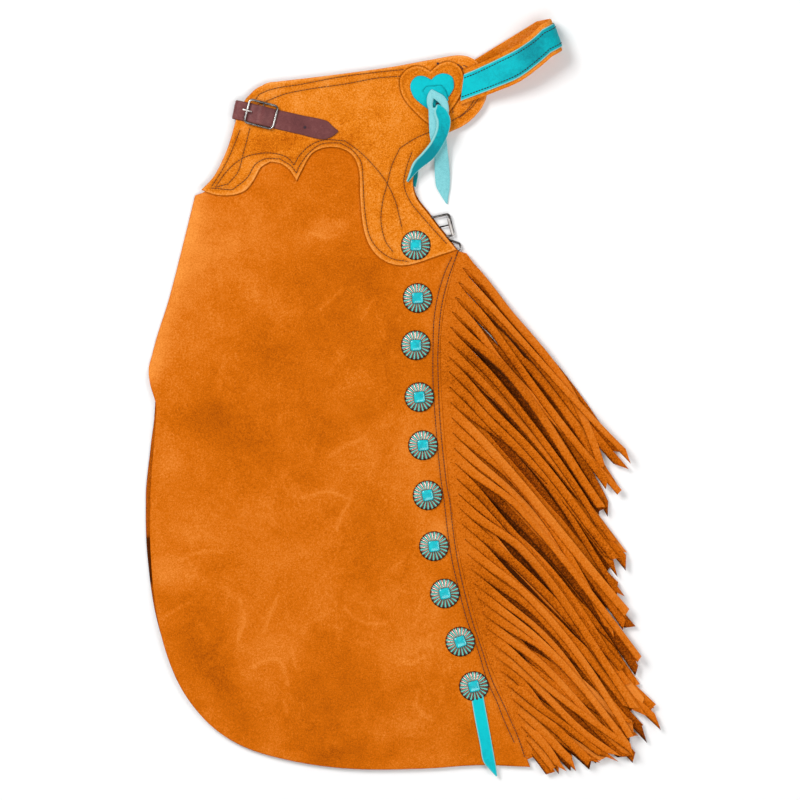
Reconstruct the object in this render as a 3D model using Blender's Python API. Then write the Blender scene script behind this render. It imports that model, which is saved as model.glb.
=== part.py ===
"""Fringed leather chaps, folded in half along the front and laid flat.

All sizes are in millimetres until a mesh is made. +Z is up and the floor is at z = 0. +Y runs from
the hem to the belt, and +X from the folded front to the fringe. One half of the chaps shows on top.
The other half lies under it as one solid, whose first layer comes out at the edges.
"""
import bisect
import math
import random

import bmesh
import bpy
from mathutils import Vector
from mathutils.geometry import delaunay_2d_cdt

MM = 0.001
SEAM = 0.3             # the gap between pieces that are sewn or lie on each other

# Leather
LEG_WALL = 1.8
YOKE_WALL = 1.8
HEART_WALL = 2.0
SMOOTH_WALL = 1.4      # the smooth coloured leather of laces, small heart and tie
STRAP_WALL = 1.8
FRINGE_WALL = 1.5

# How high the upper leg panel's underside lies over the floor
EDGE_LIFT = 4.4        # at the edges, on the other half's single layers
BULGE = 1.8            # more than that in the middle of the leg
BULGE_REACH = 90.0     # from the edge to the full bulge
RIM_LAYER = 2.0        # thickness of the folded half where only its first layer is
RIM_RISE = 8.0         # how fast it rises to its full height inside the rim
RIM_WIDTH = 3.0
BUCKLE_RIM = 40.0      # wider by this round the thigh buckle, which lies on the first layer
BUCKLE_REACH = 82.0
BUCKLE_FADE = 30.0
BUCKLE_ROOM = 31.0     # radius of the flat layer that the buckle and its tab lie on
CIRCLE_POINTS = 12     # points on a circle where one is measured or marked

# Grid of the large panels
LEG_GRID = 29.0
HIDDEN_GRID = 38.0
YOKE_GRID = 17.0
KNOT_GRID = 8.0
OUTLINE_STEP = 9.0
LEG_OUTLINE_STEP = 17.0
KNOT_OUTLINE_STEP = 6.0
EDGE_CLEARANCE = 0.45  # share of the grid kept free inside an outline
ROW_CLEARANCE = 0.5    # and round the extra rows of points
ROW_SPACING = 0.25     # and between the points of those rows

# Upper leg panel, anticlockwise from the corner at the fold. corner = 1 is a sharp point. under is how
# far the folded half's edge lies outside the upper one there, or inside it where that is negative.
LEG_OUTLINE = [
    # x, y, corner, under
    (-229, 223, 1, -9),
    (-241, 174, 0, -9),
    (-258, 108, 0, -9),
    (-272, 64, 0, -9),
    (-280, 32, 1, -9),
    (-278, 14, 0, -6),
    (-272, -7, 0, 1),
    (-274, -46, 0, 3),
    (-278, -101, 0, 5),
    (-278, -167, 0, 4),
    (-270, -244, 0, 1),
    (-249, -310, 0, -2),
    (-218, -354, 0, -2),
    (-179, -382, 0, -2),
    (-124, -399, 0, -2),
    (-58, -408, 0, -2),
    (19, -408, 0, -2),
    (85, -404, 0, -2),
    (140, -406, 1, 0),
    (116, -343, 0, 0),
    (90, -277, 0, 0),
    (63, -178, 0, 0),
    (50, -90, 0, 0),
    (41, 42, 0, 0),
    (45, 97, 0, 0),
    (61, 162, 1, 0),
    (44, 178, 0, 4),
    (25, 201, 0, 5),
    (12, 220, 0, 4),
    (9, 239, 0, 2),
    (13, 254, 0, -1),
    (22, 268, 0, -4),
    (33, 281, 0, -5),
    (47, 293, 1, -6),
    (69, 305, 0, -14),
    (83, 319, 0, -24),
    (88, 337, 0, -26),
    (85, 358, 0, -20),
    (76, 370, 0, -12),
    (60, 374, 0, -6),
    (30, 370, 0, -3),
    (-14, 362, 0, -2),
    (-80, 353, 0, -2),
    (-147, 345, 1, -3),
    (-162, 337, 0, -6),
    (-171, 327, 1, -22),
    (-180, 304, 0, -24),
    (-191, 271, 0, -8),
    (-206, 242, 0, -4),
    (-217, 228, 1, -4),
]
SEAM_TOP = 25          # the row of the fringe seam's upper end
SEAM_HEM = 18          # and the row of its lower end
ROLL_ROWS = (0, 4)     # between these rows the panel rolls under along the fold
ROLL_WIDTH = 15.0
ROLL_DROP = 4.0
ROLL_SHARES = (0.4, 1.0)         # rows of points across the roll

YOKE_OUTLINE = [
    # x, y, corner
    (-222, 229, 1),
    (-208, 244, 0),
    (-193, 275, 0),
    (-182, 311, 0),
    (-173, 329, 1),
    (-162, 340, 0),
    (-148, 347, 1),
    (-80, 355, 0),
    (-14, 364, 0),
    (30, 372, 0),
    (63, 377, 0),
    (79, 372, 0),
    (89, 360, 0),
    (93, 339, 0),
    (87, 320, 0),
    (70, 302, 0),
    (48, 291, 1),
    (37, 285, 0),
    (26, 271, 0),
    (16, 256, 0),
    (11, 240, 0),
    (14, 221, 0),
    (28, 202, 0),
    (45, 180, 0),
    (59, 163, 1),
    (37, 156, 0),
    (13, 148, 0),
    (-6, 146, 0),
    (-24, 153, 0),
    (-37, 168, 0),
    (-44, 190, 0),
    (-47, 220, 0),
    (-49, 253, 0),
    (-59, 270, 0),
    (-80, 276, 0),
    (-99, 270, 0),
    (-109, 255, 0),
    (-117, 239, 1),
    (-124, 250, 0),
    (-135, 258, 0),
    (-146, 260, 0),
    (-156, 254, 0),
    (-164, 240, 0),
    (-174, 228, 0),
    (-190, 223, 0),
    (-208, 224, 0),
]

# Soft ridges and hollows of the lying leather, each along a line
SWELLS = [
    # x0, y0, x1, y1, half width, height
    (36, 215, 60, 165, 42, 1.5),
    (-150, 190, -60, 60, 60, 0.9),
    (-200, -60, -60, -160, 55, -0.7),
    (-60, 20, 0, -120, 45, 0.8),
    (-190, -250, -30, -330, 50, 0.8),
    (-230, 60, -210, -80, 35, -0.6),
]

# Fringe. The strands of one layer lie at two heights in turn, so that they can overlap.
SEAM_STRANDS = 34      # as many as fit along the whole seam
STRIP_WIDTH = 9.0
SLIT = 1.0
STRAND_WIDTH = 10.0
FULL_LIFT_LENGTH = 130.0         # shorter strands lift less over the strip
MEAN_LENGTH = 270.0              # strands near this length vary by the full amounts below
LENGTH_SPREAD = 14.0
TIP_SKEW = 9.0                   # how slanted a strand's end is cut
TURN_SPREAD = 1.1                # degrees a strand turns from the one before
TURN_MEMORY = 0.75               # share of that one's own turn that it keeps
HEM_SHARE = 6.0                  # the lower layers' own turn fades out over 1 / this of the seam
BEND_SHARE = 1.2                 # a strand has its tip's angle from 1 / this of its length
STRAND_STATIONS = (0.0, 0.1, 0.24, 0.5, 0.76, 1.0)
FRINGE_LAYERS = [
    # name, strands, strip z, lower level, upper level, rise, root shift, longer, turned, seed
    ("fringe_top", 34, 4.4, 9.0, 11.1, 9, 0.0, 0.0, 0.0, 3),
    ("fringe_middle", 32, 2.4, 4.5, 6.5, 34, 0.5, 6.0, -2.0, 5),
    ("fringe_bottom", 31, 0.5, 0.5, 2.5, 50, 0.0, -6.0, 2.0, 8),
]
FRINGE_FLOW = [
    # place along the seam, angle under the x axis at the root and at the tip, length
    (0.00, 47, 53, 258),
    (0.10, 46, 55, 262),
    (0.30, 44, 55, 283),
    (0.45, 43, 53, 292),
    (0.55, 41, 50, 272),
    (0.65, 39, 46, 235),
    (0.74, 38, 42, 196),
    (0.82, 38, 40, 146),
    (0.86, 40, 42, 116),
    (0.90, 46, 50, 76),
    (0.95, 50, 52, 42),
    (1.00, 52, 54, 18),
]

# Conchos down the outer edge
CONCHO_PLACES = [
    # x, y, turned by degrees
    (14, 168, 0),
    (16, 110, 0),
    (14, 58, 2),
    (18, 1, 4),
    (22, -52, 6),
    (27, -107, 8),
    (34, -163, 6),
    (46, -215, 10),
    (63, -268, 15),
    (78, -317, 12),
]
CONCHO_RADIUS = 16.2
CONCHO_HEIGHT = 3.6
CONCHO_FLUTES = 20
FLUTE_DEPTH = 0.7
CONCHO_RINGS = [
    # radius, share of the height, how deep the flutes are
    (CONCHO_RADIUS, 0.0, 0.0),
    (CONCHO_RADIUS, 0.28, 1.0),
    (12.0, 0.8, 1.0),
    (7.4, 1.0, 0.0),
]
STONE_SIDE = 12.0
STONE_HEIGHT = 2.4
STONE_CORNERS = 12
STONE_RINGS = [
    # share of the side, share of the height
    (1.0, 0.0),
    (1.0, 0.45),
    (0.72, 0.85),
    (0.35, 1.0),
]

# Rosette
HEART_OUTLINE = [
    # x, y, corner
    (30, 359, 1),
    (24, 363, 0),
    (14, 365, 0),
    (4, 361, 0),
    (-3, 352, 0),
    (-3, 341, 0),
    (2, 328, 0),
    (19, 309, 0),
    (37, 295, 1),
    (52, 316, 0),
    (63, 333, 0),
    (67, 348, 0),
    (63, 363, 0),
    (51, 370, 0),
    (38, 366, 0),
]
SMALL_HEART_OUTLINE = [
    # x, y, corner
    (31, 350, 1),
    (23, 354, 0),
    (14, 353, 0),
    (8, 344, 0),
    (11, 332, 0),
    (24, 320, 0),
    (36, 312, 1),
    (48, 328, 0),
    (56, 342, 0),
    (54, 353, 0),
    (45, 357, 0),
    (37, 355, 0),
]
KNOT_OUTLINE = [
    # x, y, corner
    (31, 339, 0),
    (26, 333, 0),
    (27, 324, 0),
    (33, 321.8, 0),
    (43, 321.8, 0),
    (49, 324, 0),
    (47, 331, 0),
    (38, 337, 0),
]
KNOT_HEIGHT = 5.0

# Laces and tie: routes of the underside's middle line. z is over the floor.
PALE_TAIL = [
    # x, y, z, width
    (34, 319.8, 15.4, 11),
    (36, 306, 15.0, 14),
    (37.5, 290, 13.6, 15.5),
    (40, 274, 9.0, 16),
    (42, 255, 4.2, 16),
    (43, 236, 1.6, 15.5),
    (45, 224, 0.8, 10),
    (48, 213, 0.6, 1.5),
]
DARK_TAIL = [
    # x, y, z, width
    (40, 319.8, 17.2, 10),
    (43.5, 309, 17.2, 14.5),
    (43.5, 297, 16.6, 15.5),
    (39, 284, 15.8, 15.5),
    (30, 271, 13.6, 14),
    (18, 257, 12.0, 10.5),
    (10, 247, 11.3, 8),
    (5, 238, 10.9, 3),
]
HIDDEN_LACE_END = [
    # x, y, z, width
    (13, 256, 2.7, 9),
    (12, 244, 2.7, 9),
    (13, 233, 2.7, 6),
]
TIE = [
    # x, y, over what it lies on, width
    (82, -334, 0.4, 13),
    (85.5, -347, 0.5, 13),
    (89, -360, 0.5, 13),
    (92, -371, 0.5, 13),
    (94.5, -382, 0.5, 12.5),
    (97, -394, 0.5, 12),
    (99.5, -404, 0.5, 9),
    (101, -410, 0.1, 6),
    (103, -417, -1.2, 1.5),
]

# Back belt: its two edges on the near run, seen from above, and its height
BELT_NEAR = [
    # x and y of the top edge, x and y of the lower edge, z of the underside
    (68, 361, 67, 323, 10.2),
    (85, 370, 82, 329, 12.4),
    (108, 381, 101, 336, 17.0),
    (129, 394, 128, 349, 23.0),
    (143, 404, 150, 366, 27.8),
    (151, 409, 162, 376, 29.2),
]
BELT_TURN_STEPS = 8
BELT_TURN_SHIFT = (-4.0, 5.5)    # sideways shift of the far run
BELT_FAR_Z = 3.7                 # top of the far run's suede over the floor
BELT_FAR = [
    # how far back along the near run's direction
    22,
    50,
    84,
]
OVERLAY_WALL = 1.2
OVERLAY_MARGIN = 5.0             # suede left bare at each edge of the belt

# Front adjusting strap
STRAP_ROUTE = [
    # x, y of the middle line, height over the yoke, width
    (-179.5, 316.2, 0.3, 19),
    (-174, 315, 0.3, 19),
    (-168, 313.6, 0.4, 19),
    (-162, 312.1, 2.8, 19),
    (-158, 311.2, 4.8, 19),
    (-154, 310.2, 4.8, 19),
    (-150, 309.2, 2.8, 19),
    (-144, 307.8, 0.4, 19),
    (-137, 306, 0.3, 19),
    (-113, 300.6, 0.3, 19),
    (-86, 294.5, 0.3, 19),
    (-78, 293.2, 0.3, 12),
    (-71.5, 293.4, 0.3, 2),
]
STRAP_LEVEL_FROM = -172.0        # the strap stays level from here to the fold, past the yoke's edge
STRAP_WRAP_RADIUS = 5.0
STRAP_WRAP_STEPS = 6
STRAP_RETURN = 13.0              # how far the strap runs back under the stack
FRAME_CENTRE = (-156, 312)
FRAME_SIZE = (32.0, 26.0)
FRAME_ANGLE = -14.5
FRAME_CORNER = 4.0
FRAME_WIRE = 2.6
FRAME_LIFT = 4.1                 # of the wire's middle over the yoke
BAR_LIFT = 3.2
BAR_WIRE = 2.2
PRONG_WIRE = 2.0
CHAPE_WALL = 1.4
CHAPE_SIZE = (15.0, 17.0)
PRONG_ROUTE = [
    # along the strap from the frame's middle, height over the yoke
    (-11.0, 4.4),
    (-13.5, 6.2),
    (-16.0, 6.9),
    (-18.5, 6.7),
    (-20.5, 6.2),
]

# Buckle of the thigh strap, between the two halves
THIGH_FRAME_CENTRE = (40, 188)
THIGH_FRAME_SIZE = (27.0, 24.0)
THIGH_FRAME_ANGLE = 13.0
THIGH_FRAME_CORNER = 3.0
THIGH_WIRE = 2.4
THIGH_LIFT = 3.9
THIGH_PRONG_WIRE = 1.7
THIGH_PRONG = [
    # x, y
    (28.5, 185.3),
    (51.5, 190.7),
]
THIGH_TAB = [
    # x, y, z, width
    (16, 182.1, 2.3, 15),
    (25.2, 184.4, 2.3, 15),
]
THIGH_LOOP_CENTRE = (53, 168.5)
THIGH_LOOP_SIZE = (21.0, 9.0)
THIGH_LOOP_CORNER = 4.4
THIGH_LOOP_ANGLE = -17.0
THIGH_LOOP_WIRE = 1.9
THIGH_LOOP_LIFT = 3.4

WIRE_SIDES = 8
BAR_SIDES = 6

# Colours: linear RGB, roughness, metallic
MATERIALS = {
    "suede_tan": ((0.55, 0.15, 0.006), 0.9, 0.0),
    "yoke_tan": ((0.70, 0.21, 0.012), 0.9, 0.0),
    "leather_turquoise": ((0.005, 0.50, 0.58), 0.45, 0.0),
    "leather_pale": ((0.22, 0.62, 0.66), 0.85, 0.0),
    "leather_burgundy": ((0.18, 0.055, 0.055), 0.6, 0.0),
    "nickel": ((0.55, 0.54, 0.52), 0.25, 1.0),
    "concho_metal": ((0.30, 0.20, 0.16), 0.4, 0.9),
    "stone": ((0.005, 0.50, 0.60), 0.3, 0.0),
}


def clear_scene():
    for old in list(bpy.data.objects):
        bpy.data.objects.remove(old, do_unlink=True)


def material(name):
    colour, roughness, metallic = MATERIALS[name]
    made = bpy.data.materials.get(name)
    if made:
        return made
    made = bpy.data.materials.new(name)
    made.use_nodes = True
    shader = made.node_tree.nodes["Principled BSDF"]
    shader.inputs["Base Color"].default_value = (*colour, 1.0)
    shader.inputs["Roughness"].default_value = roughness
    shader.inputs["Metallic"].default_value = metallic
    return made


def add_solid(name, points, faces, finish, smooth_angle=40.0):
    """One object from points in millimetres. Its faces are turned to point outward."""
    bm = bmesh.new()
    verts = [bm.verts.new(Vector(p) * MM) for p in points]
    for face in faces:
        bm.faces.new([verts[i] for i in face])
    bmesh.ops.recalc_face_normals(bm, faces=bm.faces)
    if bm.calc_volume(signed=True) < 0:
        bmesh.ops.reverse_faces(bm, faces=bm.faces)
    mesh = bpy.data.meshes.new(name)
    bm.to_mesh(mesh)
    bm.free()
    mesh.materials.append(material(finish))
    mesh.shade_smooth()
    mesh.set_sharp_from_angle(angle=math.radians(smooth_angle))
    thing = bpy.data.objects.new(name, mesh)
    bpy.context.scene.collection.objects.link(thing)
    return thing


# Outlines

def smooth_outline(rows, step):
    """Points along a closed smooth curve through the rows' points, sharp where corner is 1."""
    points = [Vector(row[:2]) for row in rows]
    corner = [row[2] for row in rows]
    count = len(points)
    outline = []
    marks = []
    for i in range(count):
        before, here, after, beyond = (points[(i + k) % count] for k in (-1, 0, 1, 2))
        length = (after - here).length
        leave = (after - here) if corner[i] else (after - before)
        arrive = (after - here) if corner[(i + 1) % count] else (beyond - here)
        leave = leave.normalized() * length
        arrive = arrive.normalized() * length
        parts = max(1, round(length / step))
        marks.append(len(outline))
        for k in range(parts):
            t = k / parts
            a = 2 * t ** 3 - 3 * t ** 2 + 1
            b = t ** 3 - 2 * t ** 2 + t
            c = -2 * t ** 3 + 3 * t ** 2
            d = t ** 3 - t ** 2
            outline.append(here * a + leave * b + after * c + arrive * d)
    return outline, marks


def outward_normals(outline):
    """Unit normals of a closed outline, pointing out of it."""
    area = sum(a.x * b.y - b.x * a.y for a, b in zip(outline, outline[1:] + outline[:1]))
    side = 1.0 if area > 0 else -1.0
    normals = []
    for i, here in enumerate(outline):
        along = (outline[(i + 1) % len(outline)] - outline[i - 1]).normalized()
        normals.append(Vector((along.y, -along.x)) * side)
    return normals


def circle(centre, radius):
    """Points round a centre."""
    turns = [2 * math.pi * k / CIRCLE_POINTS for k in range(CIRCLE_POINTS)]
    return [Vector(centre) + Vector((math.cos(turn), math.sin(turn))) * radius for turn in turns]


def distance_to_line(point, start, end):
    run = end - start
    share = 0.0
    if run.length_squared > 0:
        share = min(1.0, max(0.0, (point - start).dot(run) / run.length_squared))
    return (point - start - run * share).length


def distance_to_outline(point, outline, closed=True):
    ends = outline[1:] + (outline[:1] if closed else [])
    return min(distance_to_line(point, a, b) for a, b in zip(outline, ends))


def inside(point, outline):
    crossings = 0
    for a, b in zip(outline, outline[1:] + outline[:1]):
        if (a.y > point.y) != (b.y > point.y):
            x = a.x + (point.y - a.y) / (b.y - a.y) * (b.x - a.x)
            crossings += x > point.x
    return crossings % 2 == 1


def fill(outline, grid, rows=()):
    """Triangles that fill an outline, on a grid kept clear of its edge and of extra rows of points."""
    points = list(outline)
    extra = []
    for point in rows:
        clear = all((point - other).length > grid * ROW_SPACING for other in extra)
        if clear and inside(point, outline):
            extra.append(point)
    points += extra
    low_x = min(p.x for p in outline)
    low_y = min(p.y for p in outline)
    high_x = max(p.x for p in outline)
    high_y = max(p.y for p in outline)
    row = 0
    y = low_y + grid / 2
    while y < high_y:
        x = low_x + grid / 2 * (row % 2)
        while x < high_x:
            point = Vector((x, y))
            clear = all((point - other).length > grid * ROW_CLEARANCE for other in extra)
            if clear and inside(point, outline):
                if distance_to_outline(point, outline) > grid * EDGE_CLEARANCE:
                    points.append(point)
            x += grid
        y += grid * math.sqrt(3) / 2
        row += 1
    count = len(outline)
    edges = [(i, (i + 1) % count) for i in range(count)]
    verts, _, faces, _, _, _ = delaunay_2d_cdt(points, edges, [], 1, 1e-4)
    return [Vector(v) for v in verts], [tuple(f) for f in faces]


def boundary(faces):
    """The edges that only one face has, in that face's direction."""
    seen = {}
    for face in faces:
        for a, b in zip(face, face[1:] + face[:1]):
            seen[(a, b)] = True
    return [edge for edge in seen if (edge[1], edge[0]) not in seen]


def wall(name, plan, faces, bottoms, tops, finish):
    """A closed wall over a plan, from the heights of each point's underside and top."""
    count = len(plan)
    lower = [(p.x, p.y, z) for p, z in zip(plan, bottoms)]
    upper = [(p.x, p.y, z) for p, z in zip(plan, tops)]
    closed = [tuple(reversed(face)) for face in faces]
    closed += [tuple(i + count for i in face) for face in faces]
    closed += [(a, b, b + count, a + count) for a, b in boundary(faces)]
    return add_solid(name, lower + upper, closed, finish)


# Heights of the lying leather

def smooth_step(value):
    value = min(1.0, max(0.0, value))
    return value * value * (3 - 2 * value)


class Leather:
    """The leg panel's outline and the heights of everything that lies on it."""

    def __init__(self):
        self.outline, marks = smooth_outline(LEG_OUTLINE, LEG_OUTLINE_STEP)
        first, last = ROLL_ROWS
        self.roll = self.outline[marks[first]:marks[last] + 1]
        self.seam = self.outline[marks[SEAM_HEM]:marks[SEAM_TOP] + 1][::-1]
        under = [row[3] for row in LEG_OUTLINE] + [LEG_OUTLINE[0][3]]
        marks = marks + [len(self.outline)]
        normals = outward_normals(self.outline)
        self.folded = []
        for i, (point, normal) in enumerate(zip(self.outline, normals)):
            row = bisect.bisect_right(marks, i) - 1
            share = (i - marks[row]) / (marks[row + 1] - marks[row])
            offset = under[row] * (1 - share) + under[row + 1] * share
            self.folded.append(point + normal * offset)
        roll_normals = normals[marks[first]:marks[last] + 1]
        self.roll_rows = [point - normal * ROLL_WIDTH * share
                          for share in ROLL_SHARES for point, normal in zip(self.roll, roll_normals)]
        self.rim_rows = []
        for point, normal in zip(self.folded, outward_normals(self.folded)):
            rim = self.rim_width(point)
            self.rim_rows.append(point - normal * (rim + RIM_RISE))
            if rim > RIM_RISE:
                self.rim_rows.append(point - normal * rim)
        self.rim_rows = circle(THIGH_FRAME_CENTRE, BUCKLE_ROOM) + self.rim_rows

    def leg_bottom(self, point):
        """Underside of the upper leg panel."""
        deep = 0.0
        if inside(point, self.outline):
            deep = distance_to_outline(point, self.outline)
        height = EDGE_LIFT + BULGE * smooth_step(deep / BULGE_REACH)
        for x0, y0, x1, y1, half, rise in SWELLS:
            away = distance_to_line(point, Vector((x0, y0)), Vector((x1, y1))) / half
            height += rise * math.exp(-away * away)
        from_roll = distance_to_outline(point, self.roll, closed=False)
        if from_roll < ROLL_WIDTH:
            height -= ROLL_DROP * (1 - from_roll / ROLL_WIDTH) ** 2
        return height

    def leg_top(self, point):
        return self.leg_bottom(point) + LEG_WALL

    def yoke_bottom(self, point):
        return self.leg_top(point) + SEAM

    def yoke_top(self, point):
        return self.yoke_bottom(point) + YOKE_WALL

    def folded_top(self, point):
        """The folded half is one layer at its rim and fills the stack inside it."""
        full = self.leg_bottom(point) - SEAM
        deep = distance_to_outline(point, self.folded)
        rise = smooth_step((deep - self.rim_width(point)) / RIM_RISE)
        return min(full, RIM_LAYER + max(0.0, full - RIM_LAYER) * rise)

    def rim_width(self, point):
        """Wider round the thigh buckle, which lies on the first layer."""
        near_buckle = (point - Vector(THIGH_FRAME_CENTRE)).length
        return RIM_WIDTH + BUCKLE_RIM * smooth_step((BUCKLE_REACH - near_buckle) / BUCKLE_FADE)


def make_leg(leather):
    plan, faces = fill(leather.outline, LEG_GRID, leather.roll_rows)
    bottoms = [leather.leg_bottom(p) for p in plan]
    wall("leg_front", plan, faces, bottoms, [z + LEG_WALL for z in bottoms], "suede_tan")


def make_folded_half(leather):
    plan, faces = fill(leather.folded, HIDDEN_GRID, leather.rim_rows)
    tops = [leather.folded_top(p) for p in plan]
    wall("folded_half", plan, faces, [0.0] * len(plan), tops, "suede_tan")


def make_yoke(leather):
    outline, _ = smooth_outline(YOKE_OUTLINE, OUTLINE_STEP)
    plan, faces = fill(outline, YOKE_GRID)
    bottoms = [leather.yoke_bottom(p) for p in plan]
    wall("yoke", plan, faces, bottoms, [z + YOKE_WALL for z in bottoms], "yoke_tan")


# Fringe

def read_table(rows, place, column):
    """A value between a table's rows, by the first column."""
    for low, high in zip(rows, rows[1:]):
        if place <= high[0]:
            share = (place - low[0]) / (high[0] - low[0])
            return low[column] * (1 - share) + high[column] * share
    return rows[-1][column]


def along(line, distance):
    """The point and the direction at a distance along an open line."""
    for a, b in zip(line, line[1:]):
        step = (b - a).length
        if distance <= step:
            return a + (b - a) * (distance / step), (b - a).normalized()
        distance -= step
    return line[-1].copy(), (line[-1] - line[-2]).normalized()


def strand_stations(root, left, right, place, layer, rng, turn, seam):
    """Left and right points of one strand and its heights, from the strip to the tip."""
    _, _, _, _, _, rise, _, longer, turned, _ = layer
    start_angle = read_table(FRINGE_FLOW, place, 1)
    end_angle = read_table(FRINGE_FLOW, place, 2) + turned * min(1.0, (1 - place) * HEM_SHARE) + turn
    length = read_table(FRINGE_FLOW, place, 3)
    length += (longer + rng.uniform(-LENGTH_SPREAD, LENGTH_SPREAD)) * length / MEAN_LENGTH
    middle = root.copy()
    rows = [(left, right, 0.0)]
    angle_before = start_angle
    for before, share in zip(STRAND_STATIONS, STRAND_STATIONS[1:]):
        angle = start_angle + (end_angle - start_angle) * smooth_step(share * BEND_SHARE)
        heading = math.radians(-(angle + angle_before) / 2)
        middle = middle + Vector((math.cos(heading), math.sin(heading))) * length * (share - before)
        across = Vector((-math.sin(heading), math.cos(heading)))
        skew = 0.0
        if share == 1.0:
            skew = rng.uniform(-TIP_SKEW, TIP_SKEW)
        ahead = Vector((math.cos(heading), math.sin(heading)))
        from_strip = distance_to_outline(middle, seam, closed=False) - STRIP_WIDTH
        rows.append((middle + across * STRAND_WIDTH / 2 + ahead * skew,
                     middle - across * STRAND_WIDTH / 2 - ahead * skew,
                     smooth_step(from_strip / rise)))
        angle_before = angle
    return rows


def make_fringe(leather, layer):
    name, strands, strip_z, low_z, high_z, _, shift, _, _, seed = layer
    rng = random.Random(seed)
    seam = leather.seam
    total = sum((b - a).length for a, b in zip(seam, seam[1:]))
    pitch = total / (SEAM_STRANDS + 0.5)
    plan = []
    heights = []
    faces = []

    def point(where, z):
        plan.append(where)
        heights.append(z)
        return len(plan) - 1

    def strip_height(where):
        lift = leather.leg_bottom(where) - EDGE_LIFT
        return strip_z + lift * (strip_z / EDGE_LIFT)

    previous = None
    turn = 0.0
    for i in range(strands):
        from_top = (i + 0.5 * shift) * pitch
        edges = []
        for distance in (from_top + SLIT / 2, from_top + pitch - SLIT / 2):
            at, direction = along(seam, distance)
            out = Vector((-direction.y, direction.x))
            inner = at + out * SEAM
            outer = at + out * (SEAM + STRIP_WIDTH)
            edges.append((inner, outer))
        inner_pair = [point(e[0], strip_height(e[0])) for e in edges]
        outer_pair = [point(e[1], strip_height(e[0])) for e in edges]
        faces.append((inner_pair[0], inner_pair[1], outer_pair[1], outer_pair[0]))
        if previous:
            faces.append((previous[0], inner_pair[0], outer_pair[0], previous[1]))
        previous = (inner_pair[1], outer_pair[1])
        lift = min(1.0, read_table(FRINGE_FLOW, from_top / total, 3) / FULL_LIFT_LENGTH)
        level = strip_z + ((high_z if i % 2 else low_z) - strip_z) * lift
        turn = turn * TURN_MEMORY + rng.uniform(-TURN_SPREAD, TURN_SPREAD)
        root = (edges[0][1] + edges[1][1]) / 2
        place = (from_top + pitch / 2) / total
        rows = strand_stations(root, edges[0][1], edges[1][1], place, layer, rng, turn, seam)
        last = (outer_pair[0], outer_pair[1])
        root_z = strip_height(edges[0][0])
        for left, right, share in rows[1:]:
            z = root_z + (level - root_z) * share
            pair = (point(left, z), point(right, z))
            faces.append((last[0], last[1], pair[1], pair[0]))
            last = pair
    wall(name, plan, faces, heights, [z + FRINGE_WALL for z in heights], "suede_tan")


def tube_faces(rows, sides, closed=False):
    """Faces of a tube of rings of points, closed on itself or with a face at each end."""
    faces = []
    for i in range(rows if closed else rows - 1):
        a = i * sides
        b = (i + 1) % rows * sides
        for k in range(sides):
            after = (k + 1) % sides
            faces.append((a + k, b + k, b + after, a + after))
    if not closed:
        end = (rows - 1) * sides
        faces.append(tuple(range(sides)))
        faces.append(tuple(end + k for k in reversed(range(sides))))
    return faces


# Flat straps, laces and turned loops

def ribbon(name, lefts, rights, thickness, finish, lift=0.0):
    """A strap with its underside through the two edges, thickened along its own normal."""
    count = len(lefts)
    points = []
    for i in range(count):
        run = (lefts[min(i + 1, count - 1)] + rights[min(i + 1, count - 1)]
               - lefts[max(i - 1, 0)] - rights[max(i - 1, 0)])
        normal = run.cross(lefts[i] - rights[i]).normalized()
        for level in (lift, lift + thickness):
            points.append(lefts[i] + normal * level)
            points.append(rights[i] + normal * level)
    faces = [(0, 1, 3, 2)]
    for i in range(count - 1):
        a = 4 * i
        b = a + 4
        faces += [(a, b, b + 1, a + 1), (a + 2, a + 3, b + 3, b + 2)]
        faces += [(a, a + 2, b + 2, b), (a + 1, b + 1, b + 3, a + 3)]
    end = 4 * (count - 1)
    faces.append((end, end + 2, end + 3, end + 1))
    return add_solid(name, points, faces, finish)


def edges_of_route(rows):
    """Left and right edge points of a strap from its middle line x, y, z and width."""
    lefts = []
    rights = []
    for i, (x, y, z, width) in enumerate(rows):
        after = rows[min(i + 1, len(rows) - 1)]
        before = rows[max(i - 1, 0)]
        run = Vector((after[0] - before[0], after[1] - before[1])).normalized()
        across = Vector((-run.y, run.x, 0)) * width / 2
        lefts.append(Vector((x, y, z)) + across)
        rights.append(Vector((x, y, z)) - across)
    return lefts, rights


def make_laces():
    for name, rows, finish in (
        ("lace_tail_pale", PALE_TAIL, "leather_pale"),
        ("lace_tail_dark", DARK_TAIL, "leather_turquoise"),
        ("lace_hidden_end", HIDDEN_LACE_END, "leather_turquoise"),
    ):
        lefts, rights = edges_of_route(rows)
        ribbon(name, lefts, rights, SMOOTH_WALL, finish)


def make_tie(leather):
    rows = []
    for x, y, over, width in TIE:
        at = Vector((x, y))
        rows.append((x, y, leather.leg_top(at) + over, width))
    lefts, rights = edges_of_route(rows)
    ribbon("concho_tie", lefts, rights, SMOOTH_WALL, "leather_turquoise")


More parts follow.
